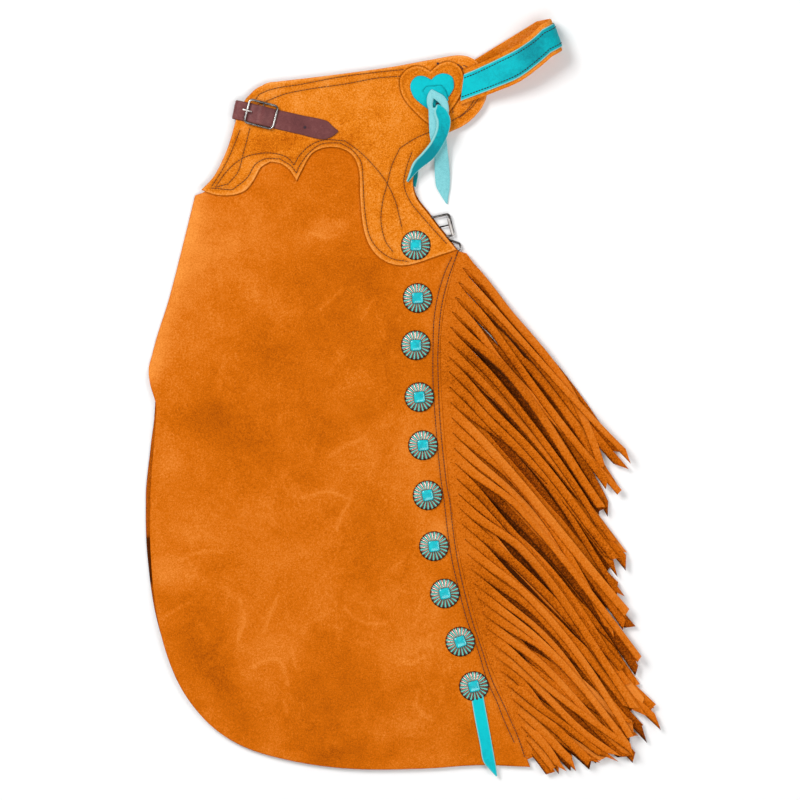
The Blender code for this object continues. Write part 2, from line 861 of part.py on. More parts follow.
def belt_edges(margin):
    """Edges of the belt's underside: the near run, the turn and the far run on the floor."""
    lefts = []
    rights = []
    for x_top, y_top, x_low, y_low, z in BELT_NEAR:
        top = Vector((x_top, y_top, z))
        low = Vector((x_low, y_low, z))
        inward = (low - top).normalized() * margin
        lefts.append(top + inward)
        rights.append(low - inward)
    end_left = lefts[-1]
    end_right = rights[-1]
    across = (end_left - end_right).normalized()
    heading = Vector((across.y, -across.x, 0))
    radius = (end_left.z - BELT_FAR_Z) / 2
    shift = Vector((*BELT_TURN_SHIFT, 0))
    for k in range(1, BELT_TURN_STEPS + 1):
        angle = math.pi * k / BELT_TURN_STEPS
        move = heading * radius * math.sin(angle) - Vector((0, 0, radius * (1 - math.cos(angle))))
        move += shift * (k / BELT_TURN_STEPS)
        lefts.append(end_left + move)
        rights.append(end_right + move)
    turn_left = lefts[-1]
    turn_right = rights[-1]
    back = (lefts[0] + rights[0] - end_left - end_right).normalized()
    back.z = 0
    for distance in BELT_FAR:
        lefts.append(turn_left + back * distance)
        rights.append(turn_right + back * distance)
    return lefts, rights


def make_belt():
    lefts, rights = belt_edges(0.0)
    ribbon("back_belt", lefts, rights, STRAP_WALL, "suede_tan")
    lefts, rights = belt_edges(OVERLAY_MARGIN)
    ribbon("belt_overlay", lefts, rights, OVERLAY_WALL, "leather_turquoise", lift=STRAP_WALL + SEAM)


def make_front_strap(leather):
    """From the point at the tip through the buckle, round the fold and back on the floor."""
    flat = []
    for x, y, over, width in STRAP_ROUTE:
        flat.append((x, y, leather.yoke_top(Vector((max(x, STRAP_LEVEL_FROM), y))) + over, width))
    lefts, rights = edges_of_route(flat)
    start_left, start_right = lefts[0], rights[0]
    run = Vector((flat[0][0] - flat[1][0], flat[0][1] - flat[1][1], 0)).normalized()
    drop = start_left.z - STRAP_WALL - SEAM
    wrap_left = []
    wrap_right = []
    for k in range(1, STRAP_WRAP_STEPS + 1):
        angle = math.pi * k / STRAP_WRAP_STEPS
        down = Vector((0, 0, drop / 2 * (1 - math.cos(angle))))
        move = run * STRAP_WRAP_RADIUS * math.sin(angle) - down
        wrap_left.append(start_left + move)
        wrap_right.append(start_right + move)
    wrap_left.append(wrap_left[-1] - run * STRAP_RETURN)
    wrap_right.append(wrap_right[-1] - run * STRAP_RETURN)
    lefts = wrap_left[::-1] + lefts
    rights = wrap_right[::-1] + rights
    ribbon("front_strap", lefts, rights, STRAP_WALL, "leather_burgundy")


# Plates, wires and bars

def plate(name, rows, step, grid, leather, over, thickness, finish):
    """A plate with a smooth outline that follows the yoke at a height over it."""
    outline, _ = smooth_outline(rows, step)
    plan, faces = fill(outline, grid)
    bottoms = [leather.yoke_top(p) + over for p in plan]
    wall(name, plan, faces, bottoms, [z + thickness for z in bottoms], finish)


def ring(name, centre, size, corner, wire, angle, z, finish):
    """A closed wire frame with rounded corners."""
    half_x = size[0] / 2 - corner
    half_y = size[1] / 2 - corner
    path = []
    for quarter, (sx, sy) in enumerate(((1, 1), (-1, 1), (-1, -1), (1, -1))):
        for k in range(4):
            turn = math.pi / 2 * (quarter + k / 3)
            middle_x = sx * half_x + corner * math.cos(turn)
            middle_y = sy * half_y + corner * math.sin(turn)
            path.append((middle_x, middle_y, turn))
    tilt = math.radians(angle)
    points = []
    for x, y, turn in path:
        for k in range(WIRE_SIDES):
            round_wire = 2 * math.pi * k / WIRE_SIDES
            out = wire / 2 * math.cos(round_wire)
            px = x + out * math.cos(turn)
            py = y + out * math.sin(turn)
            points.append((
                centre[0] + px * math.cos(tilt) - py * math.sin(tilt),
                centre[1] + px * math.sin(tilt) + py * math.cos(tilt),
                z + wire / 2 * math.sin(round_wire),
            ))
    add_solid(name, points, tube_faces(len(path), WIRE_SIDES, closed=True), finish)


def rod(name, route, wire, finish):
    """A round bar along a route of points, closed at both ends."""
    points = []
    for i, here in enumerate(route):
        run = (route[min(i + 1, len(route) - 1)] - route[max(i - 1, 0)]).normalized()
        side = run.cross(Vector((0, 0, 1))).normalized()
        rise = side.cross(run)
        for k in range(BAR_SIDES):
            turn = 2 * math.pi * k / BAR_SIDES
            points.append(here + (side * math.cos(turn) + rise * math.sin(turn)) * wire / 2)
    add_solid(name, points, tube_faces(len(route), BAR_SIDES), finish)


def make_front_buckle(leather):
    centre = Vector(FRAME_CENTRE)
    base = leather.yoke_top(centre)
    turn = math.radians(FRAME_ANGLE)
    run = Vector((math.cos(turn), math.sin(turn)))
    across = Vector((-run.y, run.x))
    ring("front_buckle_frame", FRAME_CENTRE, FRAME_SIZE, FRAME_CORNER, FRAME_WIRE, FRAME_ANGLE,
         base + FRAME_LIFT, "nickel")
    half = FRAME_SIZE[1] / 2 - FRAME_WIRE / 2 - SEAM
    bar = [centre + across * half, centre - across * half]
    rod("front_buckle_bar", [Vector((*p, base + BAR_LIFT)) for p in bar], BAR_WIRE, "nickel")
    prong = [Vector((*(centre + run * distance), base + height)) for distance, height in PRONG_ROUTE]
    rod("front_buckle_prong", prong, PRONG_WIRE, "nickel")
    long, wide = CHAPE_SIZE
    corners = [centre + run * long / 2 * sx + across * wide / 2 * sy
               for sx, sy in ((-1, -1), (1, -1), (1, 1), (-1, 1))]
    rows = [(p.x, p.y, 1) for p in corners]
    plate("front_chape", rows, long, wide, leather, SEAM, CHAPE_WALL, "leather_burgundy")


def make_thigh_buckle():
    lefts, rights = edges_of_route(THIGH_TAB)
    ribbon("thigh_tab", lefts, rights, STRAP_WALL, "suede_tan")
    ring("thigh_buckle_frame", THIGH_FRAME_CENTRE, THIGH_FRAME_SIZE, THIGH_FRAME_CORNER, THIGH_WIRE,
         THIGH_FRAME_ANGLE, THIGH_LIFT, "nickel")
    prong = [Vector((x, y, THIGH_LIFT)) for x, y in THIGH_PRONG]
    rod("thigh_buckle_prong", prong, THIGH_PRONG_WIRE, "nickel")
    ring("thigh_loop", THIGH_LOOP_CENTRE, THIGH_LOOP_SIZE, THIGH_LOOP_CORNER, THIGH_LOOP_WIRE,
         THIGH_LOOP_ANGLE, THIGH_LOOP_LIFT, "nickel")


# Conchos and rosette

def make_concho(number, x, y, turned, base):
    """A fluted dome with a flat seat in the middle."""
    sides = CONCHO_FLUTES * 2
    points = []
    for radius, height, fluted in CONCHO_RINGS:
        for k in range(sides):
            angle = 2 * math.pi * k / sides + math.radians(turned)
            z = base + height * CONCHO_HEIGHT - FLUTE_DEPTH * fluted * (k % 2)
            points.append((x + radius * math.cos(angle), y + radius * math.sin(angle), z))
    add_solid(f"concho_{number:02d}", points, tube_faces(len(CONCHO_RINGS), sides), "concho_metal")


def make_stone(number, x, y, turned, base):
    """A square dome with round corners."""
    points = []
    for side, height in STONE_RINGS:
        for k in range(STONE_CORNERS):
            angle = 2 * math.pi * k / STONE_CORNERS
            square = (abs(math.cos(angle)) ** 4 + abs(math.sin(angle)) ** 4) ** -0.25
            reach = STONE_SIDE / 2 * side * square
            at = angle + math.radians(turned)
            z = base + height * STONE_HEIGHT
            points.append((x + reach * math.cos(at), y + reach * math.sin(at), z))
    add_solid(f"stone_{number:02d}", points, tube_faces(len(STONE_RINGS), STONE_CORNERS), "stone")


def highest_under(leather_height, x, y, radius):
    """The highest point of a surface under a round piece, so that the piece clears it."""
    return max(leather_height(p) for p in [Vector((x, y))] + circle((x, y), radius))


def make_conchos(leather):
    for number, (x, y, turned) in enumerate(CONCHO_PLACES, start=1):
        surface = leather.yoke_top if number == 1 else leather.leg_top
        base = highest_under(surface, x, y, CONCHO_RADIUS) + SEAM
        make_concho(number, x, y, turned, base)
        make_stone(number, x, y, turned, base + CONCHO_HEIGHT + SEAM)


def make_rosette(leather):
    plate("heart_suede", HEART_OUTLINE, OUTLINE_STEP, YOKE_GRID, leather, SEAM, HEART_WALL, "suede_tan")
    over = SEAM + HEART_WALL + SEAM
    plate("heart_turquoise", SMALL_HEART_OUTLINE, OUTLINE_STEP, YOKE_GRID, leather, over, SMOOTH_WALL,
          "leather_turquoise")
    over += SMOOTH_WALL + SEAM
    outline = KNOT_OUTLINE
    plate("lace_knot", outline, KNOT_OUTLINE_STEP, KNOT_GRID, leather, over, KNOT_HEIGHT, "leather_pale")


def centre_on_origin():
    """Moves every piece so that the middle of the whole box's underside is the origin."""
    corners = [v.co for thing in bpy.data.objects for v in thing.data.vertices]
    low = Vector([min(c[k] for c in corners) for k in range(3)])
    high = Vector([max(c[k] for c in corners) for k in range(3)])
    for thing in bpy.data.objects:
        thing.location = (-(low.x + high.x) / 2, -(low.y + high.y) / 2, -low.z)


def main():
    clear_scene()
    leather = Leather()
    make_folded_half(leather)
    make_leg(leather)
    make_yoke(leather)
    for layer in FRINGE_LAYERS:
        make_fringe(leather, layer)
    make_conchos(leather)
    make_rosette(leather)
    make_laces()
    make_tie(leather)
    make_belt()
    make_front_strap(leather)
    make_front_buckle(leather)
    make_thigh_buckle()
    centre_on_origin()


main()
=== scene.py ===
"""Looks of the folded chaps: fine shells of suede and leather, stitches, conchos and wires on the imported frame.

Sizes here are in millimetres, in the frame's own axes, until a mesh is made. The garment lies on the floor at
z = 0, with +Y from the hem to the belt and +X from the fold to the fringe.
"""

import math
import random

import bpy
import numpy as np
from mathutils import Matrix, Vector
from mathutils.geometry import delaunay_2d_cdt
from mathutils.kdtree import KDTree


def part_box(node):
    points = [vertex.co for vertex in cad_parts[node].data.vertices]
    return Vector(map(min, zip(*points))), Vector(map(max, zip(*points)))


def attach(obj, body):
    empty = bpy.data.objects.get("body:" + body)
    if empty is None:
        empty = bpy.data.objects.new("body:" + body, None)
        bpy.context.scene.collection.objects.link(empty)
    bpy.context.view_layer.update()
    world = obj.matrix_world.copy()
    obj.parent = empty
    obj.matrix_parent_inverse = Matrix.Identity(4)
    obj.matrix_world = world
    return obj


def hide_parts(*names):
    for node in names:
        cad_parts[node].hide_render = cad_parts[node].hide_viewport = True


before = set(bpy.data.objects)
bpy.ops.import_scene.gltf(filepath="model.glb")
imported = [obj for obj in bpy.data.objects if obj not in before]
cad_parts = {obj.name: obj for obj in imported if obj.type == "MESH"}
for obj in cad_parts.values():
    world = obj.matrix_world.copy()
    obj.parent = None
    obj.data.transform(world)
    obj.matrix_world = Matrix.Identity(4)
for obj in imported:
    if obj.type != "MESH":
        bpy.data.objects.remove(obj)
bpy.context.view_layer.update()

MM = 0.001
SEAM = 0.3             # gap between pieces that lie on each other

# The photograph looks straight down. One pixel is this many millimetres on the leather.
PIXEL = 1.1
PIXEL_LEFT = -441.2    # x of the picture's left edge
PIXEL_TOP = 438.2      # y of its top edge
PICTURE = 800          # pixels

# Walls
LEG_WALL = 1.8
YOKE_WALL = 1.8
HEART_WALL = 2.0
SMOOTH_WALL = 1.4
STRAP_WALL = 1.8
OVERLAY_WALL = 1.2
FRINGE_WALL = 1.5

# How the upper leg panel lies
EDGE_LIFT = 4.4
BULGE = 1.8
BULGE_REACH = 90.0
ROLL_WIDTH = 15.0
ROLL_DROP = 4.0
ROLL_LINE = [
    # x, y
    (-227, 223),
    (-239, 174),
    (-256, 108),
    (-270, 64),
    (-278, 32),
]
SWELLS = [
    # x0, y0, x1, y1, half width, height
    (38, 215, 62, 165, 42, 1.5),
    (-148, 190, -58, 60, 60, 0.9),
    (-198, -60, -58, -160, 55, -0.7),
    (-58, 20, 2, -120, 45, 0.8),
    (-188, -250, -28, -330, 50, 0.8),
    (-228, 60, -208, -80, 35, -0.6),
]
# Finer ones that only the looks have
CREASES = [
    # x0, y0, x1, y1, half width, height
    (-120, 120, -40, 60, 14, -0.45),
    (-215, 20, -150, -40, 18, -0.5),
    (-235, -70, -190, -150, 16, 0.4),
    (-105, -20, -60, -85, 13, 0.35),
    (-30, 60, 15, 0, 15, -0.35),
    (-160, -200, -95, -235, 17, 0.45),
    (-60, -260, 10, -215, 14, -0.35),
    (-215, -245, -175, -300, 16, -0.4),
    (-10, -330, 60, -350, 15, 0.35),
    (-190, 120, -150, 60, 16, 0.4),
    (-80, 215, -10, 190, 14, 0.3),
    (-200, 235, -120, 215, 12, -0.3),
]

LEG_GRID = 3.2
YOKE_GRID = 2.6
FOLDED_GRID = 7.0
HEART_GRID = 1.8
HEART_LINE = 3.2       # the line pressed into the suede heart, in from its edge
EDGE_ROUND = 0.8       # how far in from a cut edge the wall has its full height
EDGE_DROP = 0.45       # how much lower its edge is
CUT_SHADE = 0.9        # how much darker a cut edge is at its foot
RAW_RIM = 0.45         # how much lighter the yoke's raw rim is

# Stitches
STITCH_PITCH = 3.3
STITCH_LENGTH = 2.9
STITCH_WIDTH = 0.75
GROOVE_WIDTH = 0.95
GROOVE_DEPTH = 0.35

YOKE_STITCHES = [
    # rows of pixels, x and y
    [(256, 99), (260, 94), (275, 88.5), (300, 84.5), (340, 77), (375, 72.5), (404, 69.5)],
    [(252, 108), (260, 104), (272, 99), (285, 94), (310, 89), (345, 84), (378, 78), (403, 76)],
    [(240, 130), (230, 155), (221, 172), (212, 186)],
    [(250, 128), (243, 155), (238, 172), (228, 184), (216, 187)],
    [(211, 188), (232, 190), (247, 178), (255, 165), (265, 159), (280, 159), (291, 166), (296.5, 173)],
    [(296.5, 173), (300, 165), (310, 152), (322, 144), (340, 143), (352, 150), (361, 162), (363, 180),
     (364, 200), (366, 220), (370, 237), (378, 249), (392, 258.5), (408, 261.5)],
    [(216, 186), (228, 170), (243, 158), (260, 153.5), (275, 153.5), (288, 158), (294, 165)],
    [(294, 165), (300, 155), (311, 145), (325, 140), (345, 141), (360, 152), (373, 165), (385, 180),
     (395, 200), (399, 215), (402, 228)],
    [(430, 132), (416, 138), (400, 148), (392, 165), (387, 185), (383, 200), (381, 220), (385, 240),
     (393, 252)],
    [(412, 152), (407, 166), (404, 184), (410, 201), (420, 214), (434, 230), (446, 243)],
    [(459, 118), (470, 109), (478, 99), (482, 88)],
    [(452, 121), (464, 113), (473, 102), (476, 92)],
]
SEAM_STITCHES = [
    [(452, 257), (445, 272), (438, 295), (434, 320), (433, 350), (433, 380), (434, 400), (437, 440),
     (441, 480), (444, 500), (447.5, 530), (452, 560), (459, 590), (467, 620), (478, 650), (487, 680),
     (497, 702), (504, 720), (514, 742)],
    [(458, 251), (448, 280), (441, 310), (438, 350), (438, 370), (440, 420), (446, 480), (449.5, 500),
     (453, 530), (457.5, 560), (464, 590), (472, 620), (482, 650), (492, 680), (506, 710), (519, 740),
     (525, 758)],
]

# Lighter and darker places of the nap, as seen; the first two rows are a painted highlight along the rolled edge
LEG_PATCHES = [
    # pixel x, pixel y, radius x, radius y, turned by degrees, amount
    # painted highlight along the rolled edge
    (205, 250, 26, 80, -12, 0.14),
    (178, 330, 15, 70, -10, 0.08),
    (250, 240, 50, 30, 20, 0.25),
    (300, 345, 55, 40, 30, -0.30),
    (205, 418, 45, 26, 0, -0.22),
    (340, 270, 60, 28, 35, -0.22),
    (395, 330, 30, 60, 10, -0.12),
    (320, 232, 26, 8, 20, 0.30),
    (170, 460, 20, 60, 0, 0.10),
    (230, 520, 55, 26, 15, 0.22),
    (170, 575, 26, 14, 0, 0.35),
    (190, 640, 22, 34, 20, -0.18),
    (225, 690, 16, 50, 25, -0.26),
    (258, 655, 36, 26, 0, 0.18),
    (340, 610, 60, 30, 10, 0.14),
    (300, 560, 40, 22, 0, 0.12),
    (350, 700, 70, 24, 0, -0.12),
    (350, 752, 60, 16, -5, -0.26),
    (440, 530, 12, 12, 0, 0.35),
    (400, 655, 30, 20, 20, 0.18),
    (412, 715, 22, 26, 0, 0.20),
    (440, 760, 40, 12, 0, 0.10),
    (290, 430, 70, 24, 10, -0.10),
    (370, 460, 40, 30, 0, 0.10),
]
# Lighter and darker places of the yoke; the first two rows are painted shade along its folded left edge and its bend
# at the top left
YOKE_PATCHES = [
    # pixel x, pixel y, radius x, radius y, turned by degrees, amount
    # painted shade along the folded left edge and the bend
    (217, 153, 6, 40, -26, -0.9),
    (250, 94, 16, 5, 35, -0.6),
    (404, 208, 26, 42, -20, -0.06),
    (268, 143, 28, 12, 0, -0.40),
    (300, 128, 40, 14, 10, -0.10),
    (430, 115, 20, 22, 0, -0.15),
]
LEG_SCUFFS = [
    # pixel rows of faint light scratches
    [(264, 632), (272, 610), (278, 596)],
    [(252, 668), (262, 662), (275, 658), (283, 666), (288, 684)],
    [(284, 700), (286, 712)],
    [(296, 668), (292, 650)],
    [(345, 607), (352, 616), (372, 624), (388, 622)],
    [(402, 660), (412, 664), (424, 656)],
    [(418, 690), (416, 704), (424, 716), (432, 718)],
    [(336, 530), (344, 512), (352, 496)],
    [(362, 318), (370, 304), (376, 298)],
    [(160, 620), (176, 610), (190, 602)],
    [(180, 560), (200, 552), (222, 552)],
    [(300, 498), (330, 492), (352, 500)],
    [(310, 232), (326, 238), (336, 236)],
    [(342, 290), (330, 300), (316, 312)],
    [(238, 640), (244, 620), (240, 600)],
    [(330, 456), (345, 446), (360, 440)],
]
SCUFF_WIDTH = 1.9
# Painted highlight along the leg's rolled edge
ROLL_HIGHLIGHT = 0.5       # how much lighter the rolled edge is, and how far in
ROLL_HIGHLIGHT_REACH = 14.0

# Fringe: strands of one layer lie at two heights in turn
SEAM_STRANDS = 34
STRIP_WIDTH = 9.0
SLIT = 1.0
STRAND_WIDTH = 10.0
STRAND_STEPS = 32
STRAND_ACROSS = 6
NARROW = 6.2           # narrowest and widest that a strand looks
WIDE = 10.0
FULL_LIFT_LENGTH = 130.0
FREE_FROM = 14.0       # strands part from their neighbours' line between these distances from the root
FREE_TO = 85.0
WAVE = 9.5             # how far a strand sways, and how much it bends twice
BEND = 3.6
STRAY = 4.5            # degrees that a strand's own heading differs
FREEST = 1.7           # how much freer short strands are than their length alone makes them
# Painted light and shade across a strand: its lit edge lighter, its shadow side darker
STRAND_LIGHT_AND_SHADE = (0.1, 0.16, 0.1, 0.04, 0.0, -0.15, -0.9)    # tone across a strand
FIRST_STRANDS = {
    # the first ones, whose edges show most: sway, bend, its phase, turned by degrees, longer, tone (painted shade on
    # the lower layers)
    "fringe_top": [
        (3.0, 5.0, 0.5, 9.5, 16, 0.05),
        (-1.5, 1.0, 0.0, -6.0, 8, 0.1),
        (-4.0, 2.0, 0.2, 3.0, 0, -0.1),
    ],
    "fringe_middle": [(0.0, 2.0, 0.5, 3.0, -8, -0.4)],
    "fringe_bottom": [(2.0, 4.0, 0.5, 9.5, 0, -0.7)],
}
MEAN_LENGTH = 270.0
LENGTH_SPREAD = 14.0
TIP_SKEW = 9.0
TURN_SPREAD = 1.1
TURN_MEMORY = 0.75
HEM_SHARE = 6.0
BEND_SHARE = 1.2

FRINGE_LAYERS = [
    # name, strands, strip z, levels, rise, root shift, longer, turned, seed, tone (painted shade, deeper on lower
    # layers), looseness, broader
    ("fringe_top", 34, 4.4, (8.7, 12.3, 10.5), 9, 0.0, 0.0, 0.0, 3, 0.0, 1.0, 1.0),
    ("fringe_middle", 32, 2.4, (3.5, 6.9, 5.2), 34, 0.5, 6.0, -2.0, 5, -0.4, 0.7, 1.12),
    ("fringe_bottom", 31, 0.5, (0.5, 2.0), 50, 0.0, -6.0, 2.0, 8, -0.72, 0.1, 1.38),
]
FRINGE_FLOW = [
    # place along the seam, angle under the x axis at the root and at the tip, length
    (0.00, 47, 53, 258),
    (0.10, 46, 55, 262),
    (0.30, 44, 55, 283),
    (0.45, 43, 53, 292),
    (0.55, 41, 50, 272),
    (0.65, 39, 46, 235),
    (0.74, 38, 42, 196),
    (0.82, 38, 40, 146),
    (0.86, 40, 42, 116),
    (0.90, 46, 50, 76),
    (0.95, 50, 52, 42),
    (1.00, 52, 54, 18),
]

# Laces and tie, as left edge, right edge and height of the underside over the floor
PALE_TAIL = [
    # left pixel x, y, right pixel x, y, z
    (428.5, 108, 440, 108, 15.3),
    (428.8, 120, 443, 120, 15.0),
    (430, 138, 446, 136, 13.4),
    (434, 152, 447.5, 150, 8.8),
    (434.5, 166, 449, 163, 4.6),
    (435, 176, 450, 178, 2.0),
    (436.5, 187, 449.5, 190, 1.0),
    (441.5, 196, 448.5, 196, 0.7),
    (446.3, 203.5, 447.7, 203.5, 0.6),
]
DARK_TAIL = [
    # left pixel x, y, right pixel x, y, z
    (436.6, 105.6, 438.4, 104.8, 15.4),
    (434.4, 110.5, 443.4, 107.6, 16.4),
    (434.2, 115, 447.4, 112, 17.3),
    (436.3, 122, 450.5, 121, 17.4),
    (435.5, 131, 448.5, 133, 16.6),
    (430, 143, 442.5, 146, 15.6),
    (421, 154, 433.5, 158.5, 13.8),
    (413, 163, 420.5, 169, 12.2),
    (409.5, 172, 414, 175.5, 11.3),
    (406.5, 181, 408, 182.5, 10.9),
]
HIDDEN_LACE_END = [
    # left pixel x, y, right pixel x, y, z
    (410.5, 165, 419, 165, 2.7),
    (410, 176, 418, 177, 2.7),
    (412, 186, 416, 187, 2.7),
]
TIE = [
    # left pixel x, y, right pixel x, y, over the leather
    (471.5, 694, 483, 694, 0.4),
    (472, 702, 484, 700, 0.45),
    (475, 720, 487, 716, 0.5),
    (480, 745, 491.5, 741, 0.5),
    (483, 761, 494.3, 757, 0.5),
    (489, 769, 496, 767, 0.3),
    (496, 776.5, 497.3, 776, -1.0),
]
LACE_LOOP = [
    # left pixel x, y, right pixel x, y, over the small heart
    (423.5, 91, 428.5, 104, 0.3),
    (427, 87, 430.5, 101, 0.8),
    (434, 86.8, 434.5, 99.5, 1.2),
    (441, 86, 439.5, 99.5, 1.2),
    (445.5, 91.5, 441.5, 102, 0.8),
    (448.5, 100, 443.5, 106, 0.3),
]
FOLD_RUNS = [
    # the lace's two pale runs from their apex, as left pixel x, y, right pixel x, y, over the small heart
    [
        (430.6, 90.2, 432.4, 90.4, 2.2),
        (428.2, 94.0, 433.6, 96.0, 2.8),
        (426.8, 99.0, 433.4, 100.5, 2.6),
        (427.0, 104.5, 432.6, 105, 2.2),
        (428.6, 111, 434.5, 111, 1.8),
    ],
    [
        (431.2, 90.2, 432.6, 90.0, 2.4),
        (432.6, 97.5, 437.6, 92.6, 3.2),
        (436.6, 101.0, 443.4, 96.0, 3.6),
        (440.4, 104.5, 447.4, 101.6, 3.2),
        (443.0, 109, 448.8, 108, 2.6),
        (444.0, 114, 448.9, 114, 2.0),
    ],
]
FOLD_FLATS = [(0.010, 0.026), (0.010, 0.034)]    # metres
FOLD_AREAS = [0.00017, 0.00025]
# Painted shade on the small heart in the gap between the fold's runs
FOLD_HOLE = [(436.6, 101.5), (438.4, 108)]
THREAD_ENDS = [
    # pixel x, y and heading in degrees of loose dark thread ends on the yoke
    (455.6, 64.2, -8),
    (457.6, 64.8, 24),
    (460.2, 67.8, 70),
    (461.8, 68.0, -20),
    (464.2, 65.6, 15),
    (466.2, 66.6, -15),
    (458.6, 65.2, 10),
    (461.0, 66.4, -40),
    (462.6, 69.0, -80),
    (459.2, 68.6, 30),
    (452.6, 105.4, 90),
    (452.8, 108.6, 85),
    (453.0, 111.8, 92),
]
# Holes whose mouths get a dark dish of painted shade
PEG_HOLE = (437.8, 63.6)
LACE_SLIT = (437.4, 104.6)

# Back belt: edges of its near run, turn and far run
BELT_NEAR = [
    # x and y of the top edge, x and y of the lower edge, z of the underside
    (70.1, 361.4, 65.2, 322.6, 10.2),
    (87.1, 368.6, 84.1, 329.4, 12.4),
    (110.1, 378.8, 103.1, 336.4, 17.0),
    (131.1, 390.2, 131.3, 348.2, 23.0),
    (145.1, 401.0, 153.9, 364.7, 27.8),
    (153.1, 409.4, 165.6, 375.0, 29.2),
]
BELT_TURN_STEPS = 16
BELT_TURN_SHIFT = (-4.0, 5.5)
BELT_FAR_Z = 3.7
BELT_FAR = (22, 50, 82)
BELT_FAR_TURN = math.radians(3.0)      # the far run points lower than the near one by this
OVERLAY_MARGIN = 5.2
LOW_MARGIN = 0.85      # the lower margin's share of the upper one
BELT_STITCH_INSET = 4.6
BELT_STITCH_WIDTH = 1.1
BELT_SHADE = 1.0       # the overlay is darkest where it starts to turn
BELT_SHADE_AT = 86.0
BELT_SHADE_WIDTH = 26.0

# Front strap
STRAP_ROUTE = [
    # x, y, over the yoke, width
    (-177.4, 316.6, 0.3, 21),
    (-171.9, 315.4, 0.3, 21),
    (-165.9, 314.0, 0.4, 21),
    (-159.9, 312.5, 2.8, 21),
    (-155.9, 311.6, 4.8, 21),
    (-151.9, 310.6, 4.8, 21),
    (-147.9, 309.6, 2.8, 21),
    (-141.9, 308.2, 0.4, 21),
    (-134.9, 306.4, 0.3, 21),
    (-110.9, 301.0, 0.3, 21),
    (-83.9, 294.9, 0.3, 21),
    (-75.9, 293.6, 0.3, 12),
    (-69.4, 293.8, 0.3, 2),
]
STRAP_LEVEL_FROM = -170.0
STRAP_WRAP_RADIUS = 5.0
STRAP_WRAP_STEPS = 12
STRAP_RETURN = 13.0
STRAP_HOLE = (305, 127.5)

# Frames: centre, size, corner, wire, angle, z of the wire's middle over the floor
FRONT_FRAME = ((-153.9, 312.4), (32.0, 26.0), 4.0, 2.6, -14.5)
THIGH_FRAME = ((42.1, 188.4), (27.0, 24.0), 3.0, 2.6, 13.0)
THIGH_LOOP = ((55.1, 168.9), (21.0, 9.0), 4.4, 2.4, -17.0)
ROLLER = ((448.6, 218.5), (453.2, 235.5), 1.9)    # pixels of its ends, and its radius

CONCHO_RADIUS = 16.5
LIGHT_SIDE = math.radians(125)    # the side toward the light: painted highlight on the conchos' ridges there, painted shade on the rim opposite
CONCHO_HEIGHT = 3.6
CONCHO_FLUTES = 20
FLUTE_DEPTH = 0.8
STONE_SIDE = 12.0
STONE_HEIGHT = 2.4


# Numbers and lines

def smooth_step(value):
    value = np.clip(value, 0.0, 1.0)
    return value * value * (3 - 2 * value)


def photo(rows):
    """Points in millimetres from pixels."""
    rows = np.array(rows, float)
    return np.column_stack((rows[:, 0] * PIXEL + PIXEL_LEFT, PIXEL_TOP - rows[:, 1] * PIXEL))


def line_distance(points, line, closed=False):
    """Distance of each point from a line of points."""
    line = np.asarray(line, float)
    ends = np.roll(line, -1, axis=0) if closed else line[1:]
    best = np.full(len(points), np.inf)
    for start, end in zip(line, ends):
        run = end - start
        share = np.clip((points - start) @ run / max(run @ run, 1e-9), 0, 1)
        away = points - start - share[:, None] * run
        np.minimum(best, np.hypot(away[:, 0], away[:, 1]), out=best)
    return best


def inside(points, outline):
    crossings = np.zeros(len(points), int)
    for a, b in zip(outline, np.roll(outline, -1, axis=0)):
        if a[1] == b[1]:
            continue
        spans = (a[1] > points[:, 1]) != (b[1] > points[:, 1])
        x = a[0] + (points[:, 1] - a[1]) / (b[1] - a[1]) * (b[0] - a[0])
        crossings += spans & (x > points[:, 0])
    return crossings % 2 == 1


def curve(rows, step, closed=False, corner_degrees=32.0):
    """A smooth line through rows of numbers, sharp where it turns by more than corner_degrees in plan."""
    rows = np.asarray(rows, float)
    count = len(rows)
    made = []
    spans = count if closed else count - 1
    for i in range(spans):
        here = rows[i]
        after = rows[(i + 1) % count]
        before = rows[i - 1] if closed or i > 0 else here
        beyond = rows[(i + 2) % count] if closed or i + 2 < count else after
        run = after - here
        length = np.linalg.norm(run[:2])
        leave = run if is_corner(before, here, after, corner_degrees) else tangent(before, after, length)
        arrive = run if is_corner(here, after, beyond, corner_degrees) else tangent(here, beyond, length)
        parts = max(1, round(length / step))
        for k in range(parts):
            t = k / parts
            made.append(
                here * (2 * t ** 3 - 3 * t ** 2 + 1) + leave * (t ** 3 - 2 * t ** 2 + t)
                + after * (3 * t ** 2 - 2 * t ** 3) + arrive * (t ** 3 - t ** 2)
            )
    if not closed:
        made.append(rows[-1])
    return np.array(made)


def tangent(before, after, length):
    run = after - before
    return run * (length / max(np.linalg.norm(run[:2]), 1e-9))


def is_corner(before, here, after, degrees):
    a = here[:2] - before[:2]
    b = after[:2] - here[:2]
    size = np.linalg.norm(a) * np.linalg.norm(b)
    if size < 1e-9:
        return True
    return float(a @ b) / size < math.cos(math.radians(degrees))


def outward(outline):
    """Unit normals of a closed outline, pointing out of it."""
    after = np.roll(outline, -1, axis=0)
    before = np.roll(outline, 1, axis=0)
    area = np.sum(outline[:, 0] * after[:, 1] - after[:, 0] * outline[:, 1])
    run = after - before
    normal = np.column_stack((run[:, 1], -run[:, 0])) * np.sign(area)
    return normal / np.maximum(np.linalg.norm(normal, axis=1), 1e-9)[:, None]


